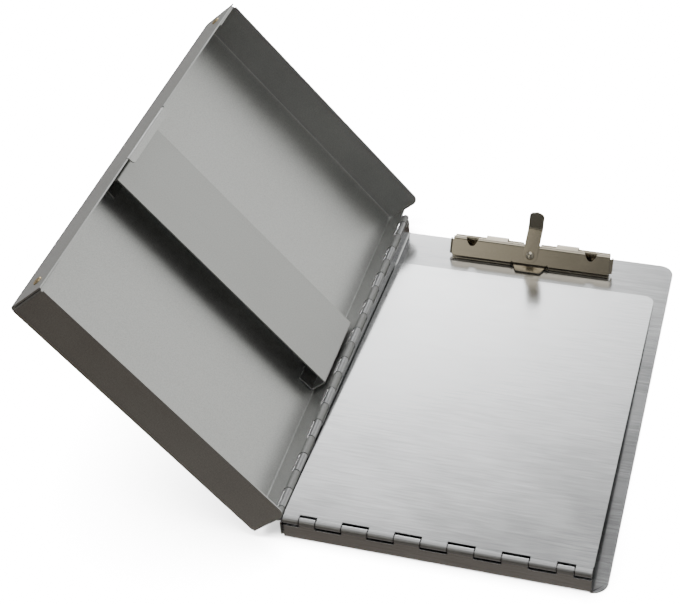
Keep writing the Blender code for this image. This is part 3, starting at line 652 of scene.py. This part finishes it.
def make_jaw(material, clip):
    """The clip's jaw: a sloping face with a lip, a nose in its middle and two knuckles on the rod."""
    foot = on_face(JAW_FACE_LENGTH, 0.0)
    lip_edge = (foot[0] - JAW_LIP_REACH, foot[1] - JAW_LIP_DROP)
    nose_edge = (foot[0] - NOSE_REACH, foot[1] - NOSE_DROP)
    side = CLIP_HALF - EAR_FOLD
    stations = span(-side, side, [s for pair in JAW_KNUCKLES for s in pair])
    knuckle = [(-2.6, JAW_KNUCKLE_OUTER)]
    knuckle += arc((0.0, 0.0), JAW_KNUCKLE_OUTER, 90, 90 - KNUCKLE_ROLL, KNUCKLE_STEPS)
    top = filleted([on_face(3.0, 0.0), on_face(0.0, 0.0), knuckle[0]], [JAW_FOLD], FOLD_STEPS)[1:-1]
    lip = filleted([on_face(6.0, 0.0), foot, lip_edge], [0.5], 4)[1:]
    nose = filleted([on_face(6.0, 0.0), foot, nose_edge], [0.9], 6)[1:]
    slope = math.radians(JAW_SLOPE)

    def place(point, x):
        return (x, point[0], point[1])

    def down_of(point):
        forward, below = JAW_FACE_TOP_Y - point[0], JAW_KNUCKLE_OUTER - point[1]
        return forward * math.cos(slope) + below * math.sin(slope)

    face_top, lip_root, nose_root = down_of(top[0]), down_of(lip[0]), down_of(nose[0])
    notch_half = NOSE_ROOT_HALF + 1.5
    face = [(x, face_top) for x in stations]
    face += [(side, EAR_TOP), (side, EAR_BOTTOM), (side, lip_root), (notch_half, lip_root)]
    face += [(NOSE_ROOT_HALF + 0.75, JAW_FACE_LENGTH - 1.2), (NOSE_ROOT_HALF, nose_root)]
    face += [(-NOSE_ROOT_HALF, nose_root), (-NOSE_ROOT_HALF - 0.75, JAW_FACE_LENGTH - 1.2)]
    face += [(-notch_half, lip_root), (-side, lip_root), (-side, EAR_BOTTOM), (-side, EAR_TOP)]
    faces = [[(x, *on_face(down, 0.0)) for x, down in face]]
    faces += leaf(top + knuckle, len(top) + 1, stations, JAW_KNUCKLES, place)
    for low, high in ((-side, -notch_half), (notch_half, side)):
        faces += strip(lip, low, high, place)
    faces += strip(nose[:-1], -NOSE_ROOT_HALF, NOSE_ROOT_HALF, place)
    root = nose[-2]
    tip = [(-NOSE_ROOT_HALF, *root), (NOSE_ROOT_HALF, *root)]
    right = [(NOSE_ROOT_HALF, root[0]), (NOSE_TIP_HALF, nose_edge[0]), (0.0, nose_edge[0])]
    right = filleted(right, [NOSE_CORNER], 6)[1:-1]
    drop = (nose_edge[1] - root[1]) / (nose_edge[0] - root[0])
    tip += [(x, y, root[1] + drop * (y - root[0])) for x, y in right]
    tip += [(-x, y, root[1] + drop * (y - root[0])) for x, y in reversed(right)]
    faces.append(tip)
    for sign in (-1, 1):
        bend = arc((side, -EAR_FOLD), EAR_FOLD, 90, 0, FOLD_STEPS)

        def fold(point, down, sign=sign):
            return (sign * point[0], *on_face(down, point[1]))

        faces += strip(bend, EAR_TOP, EAR_BOTTOM, fold)
        upper, lower = on_face(EAR_TOP, -EAR_FOLD), on_face(EAR_BOTTOM, -EAR_FOLD)
        ear = [upper, (EAR_BACK_Y, upper[1]), (EAR_BACK_Y, EAR_BACK_Z), (lower[0] + 2.2, lower[1]), lower]
        faces.append([(sign * CLIP_HALF, y, z) for y, z in filleted(ear, [0.6, 1.0, 1.0], 4)])
    # Known fault, from filleted: the lips and the nose share no edges with the rest, and the side is judged
    # by the nose alone. The sloping face comes out thick on its outer side, JAW_SHEET proud of the node's.
    shape = folded_sheet(faces, JAW_SHEET, (0, -0.87, 0.5))
    out = (0.0, -math.sin(slope), math.cos(slope))
    holes = [(RIVET_HOLE, (0.0, *on_face(RIVET_DOWN_FACE, 0.0)), out, 2.5)]
    for sign in (-1, 1):
        holes.append((ACCESS_NOTCH_RADIUS, (sign * ACCESS_NOTCH_X, ACCESS_NOTCH_Y, 0.0), (0, 0, 1), 4.0))
    finished("clip_jaw_sheet", shape, clip, material, "clip_jaw", "jaw", holes)


def make_bracket(material, clip):
    """The strip that is riveted to the tray and rolled into four lugs that hold the clip's rod."""
    floor = SHEET + GAP - CLIP_AXIS_Z
    bend_centre = (BRACKET_OUTER - BRACKET_FOLD, floor + BRACKET_FOLD)
    section = arc(bend_centre, BRACKET_FOLD, 270, 360, FOLD_STEPS)
    section.append((BRACKET_OUTER, -BRACKET_NOTCH_REACH))
    section += arc((0.0, 0.0), BRACKET_OUTER, 0, KNUCKLE_ROLL, KNUCKLE_STEPS)
    stations = span(-BRACKET_HALF, BRACKET_HALF, [s for pair in BRACKET_LUGS for s in pair])

    def place(point, x):
        return (x, point[0], point[1])

    faces = leaf(section, FOLD_STEPS + 2, stations, BRACKET_LUGS, place)
    plate = [(x, section[0][0]) for x in stations]
    plate += [(BRACKET_HALF, BRACKET_FRONT_Y), (-BRACKET_HALF, BRACKET_FRONT_Y)]
    faces.append([(x, y, floor) for x, y in plate])
    shape = folded_sheet(faces, BRACKET_SHEET, (0, 0, -1))
    holes = []
    for sign in (-1, 1):
        holes.append((MOUNT_HOLE, (sign * ACCESS_NOTCH_X, ACCESS_NOTCH_Y, floor), (0, 0, 1), 1.5))
    finished("clip_bracket_sheet", shape, clip, material, "clip_bracket", "tray_base", holes)


def make_mount_rivets(material, clip):
    """Two rivets, flush under the tray, below the jaw's half-round notches."""
    head_bottom = SHEET + GAP + BRACKET_SHEET
    for side, sign in (("left", -1), ("right", 1)):
        shape = rivet_shape(MOUNT_SHANK, 0.05, head_bottom, MOUNT_RIVET_HEAD)
        place = empty_frame((sign * ACCESS_NOTCH_X, ACCESS_NOTCH_Y, -CLIP_AXIS_Z), (0, 0, 0), clip)
        node = "clip_mount_rivet_" + side
        finished(node + "_dome", shape, place, material, node, "tray_base", edge=0)


def make_rod(material, clip):
    """The wire that the jaw turns on."""
    shape = wire_shape(ROD_RADIUS, BRACKET_HALF + 0.2)
    place = empty_frame((0, 0, 0), (0, 90, 0), clip)
    finished("clip_rod_wire", shape, place, material, "clip_hinge_rod", "tray_base", edge=0)


def make_spring(material, clip):
    """A torsion spring on the rod: a leg stands on the bracket and the other bears on the lever's rivet."""
    steps = 36
    start, finish = 180.0, 180.0 + 360.0 * SPRING_TURNS - SPRING_LEG_ANGLE
    count = round((finish - start) / 360.0 * steps)
    foot_z = SHEET + GAP + BRACKET_SHEET + SPRING_FOOT_RISE - CLIP_AXIS_Z
    points = [(-SPRING_HALF, -SPRING_MEAN_RADIUS, foot_z)]
    for i in range(count + 1):
        turn = math.radians(start + (finish - start) * i / count)
        x = -SPRING_HALF + 2 * SPRING_HALF * i / count
        points.append((x, SPRING_MEAN_RADIUS * math.cos(turn), SPRING_MEAN_RADIUS * math.sin(turn)))
    tip = on_face(*SPRING_LEG_END)
    points += [(SPRING_HALF, *tip), (-1.0, *tip)]
    curve = bpy.data.curves.new("clip_spring_wire", "CURVE")
    curve.dimensions = "3D"
    curve.bevel_depth = SPRING_WIRE_RADIUS * MM
    curve.bevel_resolution = 4
    curve.use_fill_caps = True
    line = curve.splines.new("POLY")
    line.points.add(len(points) - 1)
    for point, place in zip(line.points, points):
        point.co = (*(Vector(place) * MM), 1.0)
    guide = bpy.data.objects.new("spring_guide", curve)
    bpy.context.scene.collection.objects.link(guide)
    bpy.context.view_layer.update()
    mesh = bpy.data.meshes.new_from_object(guide.evaluated_get(bpy.context.evaluated_depsgraph_get()))
    bpy.data.objects.remove(guide)
    shape = bmesh.new()
    shape.from_mesh(mesh)
    bmesh.ops.scale(shape, vec=(1 / MM, 1 / MM, 1 / MM), verts=shape.verts)
    finished("clip_spring_wire", shape, clip, material, "clip_spring", "tray_base", edge=0)


def make_lever(material, swivel):
    """The thumb lever, a strip that turns on its rivet; its frame has Y up the jaw's face and Z out of it."""
    top = GAP + LEVER_SHEET
    bend_centre = (LEVER_STRAIGHT, top + LEVER_BEND_RADIUS)
    bend = arc(bend_centre, LEVER_BEND_RADIUS, -90, -90 + LEVER_BEND, 8)
    rise = math.radians(LEVER_BEND)

    def place(point, x):
        return (x, point[0], point[1])

    def on_tip(x, far):
        return (x, bend[-1][0] + far * math.cos(rise), bend[-1][1] + far * math.sin(rise))

    foot = arc((0.0, 0.0), LEVER_HALF_WIDTH, 180, 360, 28)
    corner = LEVER_TIP_CORNER
    corner_x, corner_y = LEVER_HALF_WIDTH - corner, LEVER_TIP - corner - LEVER_TIP_CROWN
    crown = [(LEVER_HALF_WIDTH, 0.0)]
    crown += arc((corner_x, corner_y), corner, 0, 70, 10)
    crown += [(0.0, LEVER_TIP)]
    crown += arc((-corner_x, corner_y), corner, 110, 180, 10)
    crown += [(-LEVER_HALF_WIDTH, 0.0)]
    strap = [*foot, (LEVER_HALF_WIDTH, LEVER_STRAIGHT), (-LEVER_HALF_WIDTH, LEVER_STRAIGHT)]
    faces = [[(x, y, top) for x, y in strap]]
    faces += strip(bend, -LEVER_HALF_WIDTH, LEVER_HALF_WIDTH, place)
    faces.append([on_tip(x, far) for x, far in crown])
    shape = folded_sheet(faces, LEVER_SHEET, (0, -1, 0.1))
    holes = [(RIVET_HOLE, (0.0, 0.0, top), (0, 0, 1), 2.0)]
    finished(
        "clip_lever_sheet", shape, swivel, material, "clip_lever", "lever", holes, LEVER_EDGE
    )


def make_lever_rivet(material, face):
    """The domed rivet that the lever turns on."""
    tail_bottom = -JAW_SHEET - GAP - 1.0
    shape = rivet_shape(RIVET_SHANK, tail_bottom, GAP + LEVER_SHEET, LEVER_RIVET_HEAD, LEVER_RIVET_TAIL)
    finished("clip_lever_rivet_dome", shape, face, material, "clip_lever_rivet", "jaw", edge=0)


# ------------------------------------------------------------------------------------------- materials


class Graph:
    """Adds nodes to a material or world and links them, one call for each node."""

    def __init__(self, tree):
        self.tree = tree

    def add(self, kind, inputs=None, **settings):
        node = self.tree.nodes.new(kind)
        for name, value in settings.items():
            setattr(node, name, value)
        for name, value in (inputs or {}).items():
            if isinstance(value, bpy.types.NodeSocket):
                self.tree.links.new(value, node.inputs[name])
            else:
                node.inputs[name].default_value = value
        return node

    def math(self, operation, a, b=0.0, clamp=False):
        return self.add("ShaderNodeMath", {0: a, 1: b}, operation=operation, use_clamp=clamp).outputs[0]

    def noise(self, vector, scale, detail=2.0, roughness=0.5):
        settings = {"Vector": vector, "Scale": scale, "Detail": detail, "Roughness": roughness}
        return self.add("ShaderNodeTexNoise", settings).outputs["Fac"]

    def ramp(self, value, low, high, to_low, to_high, smooth=False):
        kind = "SMOOTHSTEP" if smooth else "LINEAR"
        settings = {"Value": value, "From Min": low, "From Max": high, "To Min": to_low, "To Max": to_high}
        return self.add("ShaderNodeMapRange", settings, interpolation_type=kind).outputs["Result"]

    def mix(self, factor, a, b):
        node = self.add("ShaderNodeMix", {0: factor, 6: a, 7: b}, data_type="RGBA")
        return node.outputs[2]

    def mapped(self, vector, scale, rotation=(0.0, 0.0, 0.0)):
        turn = [math.radians(r) for r in rotation]
        settings = {"Vector": vector, "Scale": scale, "Rotation": turn}
        return self.add("ShaderNodeMapping", settings).outputs["Vector"]


ROLLED_ROUGHNESS = 0.22  # added to the roughness of the rolled knuckles
ROLL_REACH = 2.15  # from a hinge axis to just past its knuckles
ROLL_FADE = 0.3
ROLLED_TONE = 0.72  # their colour's share of the sheet's
BRUSHED_ANISOTROPY = 0.5

# How many features there are in a metre.
SMUDGES, HAZE, PITS = 22.0, 6.0, 350.0
ACROSS_GRAIN, ALONG_GRAIN, WITHOUT_GRAIN = 900.0, 45.0, 1400.0
ACROSS_SCRATCHES = 1500.0
SCRATCHES = ((24.0, 27.0), (-51.0, 12.0), (83.0, 18.0))  # each set's turn in degrees and features along it

# Each metal's darkest and lightest colour.
TRAY_TONES = ((0.54, 0.545, 0.55), (0.71, 0.715, 0.72))
LID_TONES = ((0.50, 0.505, 0.50), (0.68, 0.685, 0.67))
BAND_TONES = ((0.42, 0.425, 0.42), (0.56, 0.565, 0.55))
NICKEL_TONES = ((0.42, 0.38, 0.30), (0.52, 0.47, 0.38))
# Painted light: the lever's rivet is the clip's nickel made lighter, so that its dome reads bright.
PAINTED_LIGHT_RIVET_TONES = ((0.62, 0.57, 0.46), (0.74, 0.69, 0.57))
ROD_TONES = ((0.34, 0.30, 0.23), (0.44, 0.39, 0.30))
STEEL_TONES = ((0.26, 0.26, 0.25), (0.34, 0.34, 0.33))
BRASS_TONES = ((0.50, 0.39, 0.22), (0.66, 0.53, 0.32))


def near_axis(graph, here, axis, first, second, reach):
    """1 within reach of a line along an axis of the piece's own frame, in millimetres, and 0 beyond."""
    split = graph.add("ShaderNodeSeparateXYZ", {0: here}).outputs
    across = [split[name] for name in "XYZ" if name != axis]
    sides = [graph.math("SUBTRACT", a, b * MM) for a, b in zip(across, (first, second))]
    squares = [graph.math("MULTIPLY", side, side) for side in sides]
    distance = graph.math("SQRT", graph.math("ADD", *squares))
    return graph.ramp(distance, reach * MM, (reach + ROLL_FADE) * MM, 1.0, 0.0)


def metal(name, tones, roughness, grain=None, streak=0.0, wave=0.0, pits=0.0, rolls_and_shade=(), back=1.0):
    """A worn metal: brushed along grain ("X" or "Y" of the piece) or plain, with smudges and fine scratches.

    Faces that look along the grain's axis carry it along Z, as a sheet does past its fold. The heights
    streak, wave and pits are in micrometres. The metal is duller along each line listed as a roll, which gives
    its axis, the two other coordinates, the reach and the colour's share there; the jaw's line along its lip
    is rougher too, but its darker colour there is painted shade, standing in for the dim reflection on the
    lip. The side that faces +Z keeps only the share back of the colour: painted shade, for the pocket band's
    underside that faces the lid's panel across the gap.
    """
    material = bpy.data.materials.new(name)
    material.use_nodes = True
    graph = Graph(material.node_tree)
    shader = material.node_tree.nodes["Principled BSDF"]
    places = graph.add("ShaderNodeTexCoord")
    here, normal = places.outputs["Object"], places.outputs["Normal"]

    smudge = graph.noise(here, SMUDGES, 4.0, 0.55)
    haze = graph.noise(here, HAZE, 2.0)
    scratch = 0.0
    for turn, along in SCRATCHES:
        scale = (along, ACROSS_SCRATCHES, ACROSS_SCRATCHES)
        lines = graph.noise(graph.mapped(here, scale, (0, 0, turn)), 1.0, 1.0)
        scratch = graph.math("ADD", scratch, graph.ramp(lines, 0.70, 0.76, 0.0, 1.0))
    if grain:
        axis = "XYZ".index(grain)
        flat_scale, end_scale = [ACROSS_GRAIN] * 3, [ACROSS_GRAIN] * 3
        flat_scale[axis], end_scale[2] = ALONG_GRAIN, ALONG_GRAIN
        split = graph.add("ShaderNodeSeparateXYZ", {0: normal})
        end_on = graph.math("GREATER_THAN", graph.math("ABSOLUTE", split.outputs[axis]), 0.7)
        lines = graph.add(
            "ShaderNodeMix",
            {0: end_on, 4: graph.mapped(here, flat_scale), 5: graph.mapped(here, end_scale)},
            data_type="VECTOR",
        )
        fine = graph.noise(lines.outputs[1], 1.0, 4.0, 0.65)
    else:
        fine = graph.noise(here, WITHOUT_GRAIN, 3.0, 0.6)

    tone = graph.math("ADD", graph.math("MULTIPLY", fine, 0.7), graph.math("MULTIPLY", smudge, 0.3))
    dark, light = tones
    colour = graph.mix(graph.ramp(tone, 0.3, 0.7, 0.0, 1.0), (*dark, 1.0), (*light, 1.0))
    # Painted shade: the side that faces +Z, the pocket band's underside over the lid's panel, keeps only the
    # share back of the colour.
    if back < 1.0:
        painted_back_shade = graph.ramp(graph.add("ShaderNodeSeparateXYZ", {0: normal}).outputs["Z"], 0.3, 0.6, 1.0, back)
        colour = graph.add("ShaderNodeVectorMath", {0: colour, 1: painted_back_shade}, operation="MULTIPLY").outputs[0]
    gloss = graph.math("ADD", graph.math("MULTIPLY", fine, 0.35), graph.math("MULTIPLY", smudge, 0.65))
    rough = graph.ramp(gloss, 0.3, 0.7, roughness[0], roughness[1])
    rough = graph.math("ADD", rough, graph.math("MULTIPLY", scratch, 0.05))
    # Each line makes the metal rougher and cuts its colour to the share; on the jaw's lip the darker colour is
    # painted shade for the dim reflection there.
    for axis, first, second, reach, share in rolls_and_shade:
        rolled = near_axis(graph, here, axis, first, second, reach)
        rough = graph.math("ADD", rough, graph.math("MULTIPLY", rolled, ROLLED_ROUGHNESS))
        tone = graph.ramp(rolled, 0.0, 1.0, 1.0, share)
        colour = graph.add("ShaderNodeVectorMath", {0: colour, 1: tone}, operation="MULTIPLY").outputs[0]

    heights = ((haze, wave), (fine, streak), (graph.noise(here, PITS, 2.0), pits))
    bump = None
    for height, micrometres in heights:
        if not micrometres:
            continue
        inputs = {"Height": height, "Distance": micrometres * 1e-6, "Strength": 1.0}
        if bump:
            inputs["Normal"] = bump
        bump = graph.add("ShaderNodeBump", inputs).outputs["Normal"]
    link = material.node_tree.links.new
    link(colour, shader.inputs["Base Color"])
    link(rough, shader.inputs["Roughness"])
    if bump:
        link(bump, shader.inputs["Normal"])
    shader.inputs["Metallic"].default_value = 1.0
    if grain:
        shader.inputs["Anisotropic"].default_value = BRUSHED_ANISOTROPY
        facing = graph.add("ShaderNodeNewGeometry").outputs["Normal"]
        along = (1.0, 0.0, 0.0) if grain == "X" else (0.0, 1.0, 0.0)
        across = graph.add("ShaderNodeVectorMath", {0: facing, 1: along}, operation="CROSS_PRODUCT")
        link(across.outputs[0], shader.inputs["Tangent"])
    return material


# --------------------------------------------------------------------------------------------- studio


FLOOR_REACH = 8000.0


def make_floor():
    """A plain pale floor. Metal doesn't mirror it, so that the walls of the tray read dark against it."""
    material = bpy.data.materials.new("pale_floor")
    material.use_nodes = True
    graph = Graph(material.node_tree)
    shader = material.node_tree.nodes["Principled BSDF"]
    here = graph.add("ShaderNodeTexCoord").outputs["Object"]
    dark, light = (0.93, 0.93, 0.93, 1.0), (0.95, 0.95, 0.95, 1.0)
    colour = graph.mix(graph.noise(here, 3.0, 2.0), dark, light)
    material.node_tree.links.new(colour, shader.inputs["Base Color"])
    shader.inputs["Roughness"].default_value = 0.9
    shader.inputs["Specular IOR Level"].default_value = 0.0
    shape = bmesh.new()
    reach = FLOOR_REACH
    corners = [(-reach, -reach), (reach, -reach), (reach, reach), (-reach, reach)]
    shape.faces.new([shape.verts.new((x, y, 0.0)) for x, y in corners])
    floor = mesh_object("floor", shape, Matrix.Identity(4))
    floor.data.materials.append(material)
    floor.visible_glossy = False


def toward(azimuth, elevation):
    """A unit vector, with azimuth in degrees from +Y towards +X."""
    turn, rise = math.radians(azimuth), math.radians(elevation)
    return (math.sin(turn) * math.cos(rise), math.cos(turn) * math.cos(rise), math.sin(rise))


# What the metal mirrors, as soft round cards: (azimuth, elevation, inner and outer radius, strength, colour).
CARDS = (
    (-15.0, 20.0, 3.0, 24.0, 3.7, (0.99, 1.0, 1.0)),  # the bright window behind the clip
    (-16.0, 26.0, 2.0, 13.0, 2.6, (1.0, 1.0, 1.0)),  # its brightest part, in the plate's far left
    (0.0, 90.0, 10.0, 36.0, 1.4, (1.0, 1.0, 0.98)),  # a softbox overhead, in the nose, the rod and the rims
    (42.0, 12.0, 5.0, 34.0, 1.12, (0.99, 1.0, 0.965)),  # a dim wall behind on the right, in the lid's panel
    (-48.0, -15.0, 8.0, 36.0, 0.33, (1.0, 1.0, 1.0)),  # a low card on the left, in the lid's long wall
    (135.0, 10.0, 5.0, 40.0, 0.16, (1.0, 1.0, 0.96)),  # a dim card at the front right, in the lid's far wall
    (-158.0, 22.0, 3.0, 15.5, 1.25, (1.0, 0.97, 0.86)),  # a lamp behind the camera, in the jaw's left end
    (-165.0, -70.0, 8.0, 36.0, 0.10, (1.0, 0.92, 0.82)),  # the bench in front, in the near walls
    (-88.0, -8.0, 4.0, 24.0, 0.5, (1.0, 1.0, 0.96)),  # the floor on the left, in edges that look that way
    (0.0, -90.0, 10.0, 42.0, 0.35, (1.0, 1.0, 0.98)),  # the pale floor below, in the lid's outer face
)
ABOVE = (0.28, 0.28, 0.28)  # the studio between the cards, above and below the horizon
BELOW = (0.080, 0.068, 0.058)
FRONT_SHARE = 0.36  # how much of the light above there is on the camera's side


def make_world():
    """The studio round the object: dim and warm below and on the camera's side, with soft bright cards."""
    world = bpy.data.worlds.new("studio")
    bpy.context.scene.world = world
    world.use_nodes = True
    graph = Graph(world.node_tree)
    background = world.node_tree.nodes["Background"]
    direction = graph.add("ShaderNodeTexCoord").outputs["Generated"]
    split = graph.add("ShaderNodeSeparateXYZ", {0: direction}).outputs
    share = graph.ramp(split["Y"], -0.8, 0.2, FRONT_SHARE, 1.0, smooth=True)
    sky = graph.add("ShaderNodeVectorMath", {0: ABOVE, 1: share}, operation="MULTIPLY").outputs[0]
    total = graph.mix(graph.ramp(split["Z"], -0.05, 0.25, 0.0, 1.0, smooth=True), (*BELOW, 1.0), sky)
    for azimuth, elevation, inner, outer, strength, colour in CARDS:
        settings = {0: direction, 1: toward(azimuth, elevation)}
        facing = graph.add("ShaderNodeVectorMath", settings, operation="DOT_PRODUCT").outputs["Value"]
        low, high = math.cos(math.radians(outer)), math.cos(math.radians(inner))
        glow = graph.ramp(facing, low, high, 0.0, strength, smooth=True)
        settings = {0: glow, 1: colour, 2: total}
        total = graph.add("ShaderNodeVectorMath", settings, operation="MULTIPLY_ADD").outputs["Vector"]
    world.node_tree.links.new(total, background.inputs["Color"])


def area_light(name, location, target, size, power):
    """A round white light that looks at a target. Metal doesn't mirror it."""
    lamp = bpy.data.lights.new(name, "AREA")
    lamp.shape = "DISK"
    lamp.size = size
    lamp.energy = power
    light = bpy.data.objects.new(name, lamp)
    light.location = location
    light.rotation_mode = "QUATERNION"
    light.rotation_quaternion = (Vector(target) - Vector(location)).to_track_quat("-Z", "Y")
    light.visible_glossy = False
    bpy.context.scene.collection.objects.link(light)


def make_lights():
    """A broad soft light over the object's far left, and a fill that reaches in under the open lid."""
    area_light("overhead", (-0.45, 0.35, 1.9), (0.0, 0.0, 0.0), 2.2, 900.0)
    area_light("left_fill", (-1.5, -0.9, 0.9), (-0.1, -0.1, 0.0), 1.2, 260.0)


def make_camera():
    """The camera: its place, the way it looks and its slight roll, worked out from the object's edges."""
    lens = bpy.data.cameras.new("camera")
    lens.lens = 84.3
    lens.clip_start = 0.05
    camera = bpy.data.objects.new("camera", lens)
    look = Vector((-0.2476, 0.7339, -0.6326)).normalized()
    up = Vector((-0.1383, 0.6194, 0.7728))
    right = look.cross(up).normalized()
    up = right.cross(look)
    turn = Matrix((right, up, -look)).transposed().to_4x4()
    place = (0.1291, -0.638, 0.598)
    camera.matrix_world = Matrix.Translation(place) @ turn
    bpy.context.scene.collection.objects.link(camera)
    bpy.context.scene.camera = camera


def make_form_holder():
    """Every piece in its metal: the tray and its plate, the lid and its band, and the clip."""
    knuckle = (ROLL_REACH, ROLLED_TONE)
    tray_rolls = (("Y", SIDE_AXIS_X, SIDE_AXIS_Z, *knuckle), ("X", FRONT_AXIS_Y, FRONT_AXIS_Z, *knuckle))
    tray_look = {"tones": TRAY_TONES, "roughness": (0.13, 0.23), "grain": "X", "streak": 0.8, "wave": 60.0}
    tray_aluminium = metal("tray_aluminium", rolls_and_shade=tray_rolls, **tray_look)
    plate_aluminium = metal("plate_aluminium", rolls_and_shade=(("X", 0.0, 0.0, *knuckle),), **tray_look)
    lid_look = {"roughness": (0.39, 0.47), "wave": 60.0, "pits": 0.5}
    lid_rolls = (("Y", 0.0, 0.0, *knuckle),)
    lid_aluminium = metal("lid_aluminium", LID_TONES, rolls_and_shade=lid_rolls, **lid_look)
    # Painted shade: back=0.3 keeps 0.3 of the band's colour on its side that faces the lid's panel, for the
    # shade in the gap under the band.
    band_aluminium = metal("band_aluminium", BAND_TONES, back=0.3, **lid_look)
    foot = on_face(JAW_FACE_LENGTH, 0.0)
    # The first line is painted shade: the jaw's lip darkened to 0.35 of its colour, standing in for the dim
    # reflection on the lip. The second dulls the jaw's knuckles.
    jaw_rolls_and_lip_shade = (("X", foot[0] - 0.5, foot[1] - 0.1, 0.6, 0.35), ("X", 0.0, 0.0, 2.25, 0.75))
    jaw_nickel = metal("jaw_nickel", NICKEL_TONES, (0.14, 0.24), pits=0.8, rolls_and_shade=jaw_rolls_and_lip_shade)
    nickel = metal("nickel_plate", NICKEL_TONES, (0.14, 0.24), pits=0.8)
    # Painted light: a lighter copy of the nickel, so that the lever's rivet dome reads bright.
    painted_light_rivet_nickel = metal("painted_light_rivet_nickel", PAINTED_LIGHT_RIVET_TONES, (0.20, 0.30), pits=0.8)
    rod_nickel = metal("rod_nickel", ROD_TONES, (0.20, 0.34), pits=0.8)
    wire = metal("wire_steel", STEEL_TONES, (0.28, 0.42), pits=0.8)
    brass = metal("brass", BRASS_TONES, (0.20, 0.34), pits=0.8)

    make_tray(tray_aluminium)
    make_pins(wire)
    make_writing_plate(plate_aluminium)

    hinge = empty_frame((SIDE_AXIS_X, 0.0, SIDE_AXIS_Z), (0, -LID_OPEN, 0))
    make_lid(lid_aluminium, hinge)
    make_pocket_band(band_aluminium, hinge)
    make_corner_rivets(brass, hinge)

    clip = empty_frame((CLIP_X, CLIP_AXIS_Y, CLIP_AXIS_Z))
    make_bracket(rod_nickel, clip)
    make_mount_rivets(nickel, clip)
    make_rod(rod_nickel, clip)
    make_spring(wire, clip)
    make_jaw(jaw_nickel, clip)
    face = empty_frame((0.0, *on_face(RIVET_DOWN_FACE, 0.0)), (JAW_SLOPE, 0, 0), clip)
    swivel = empty_frame((0, 0, 0), (0, 0, LEVER_LEAN), face)
    make_lever(nickel, swivel)
    make_lever_rivet(painted_light_rivet_nickel, face)


make_form_holder()
make_floor()
make_world()
make_lights()
make_camera()
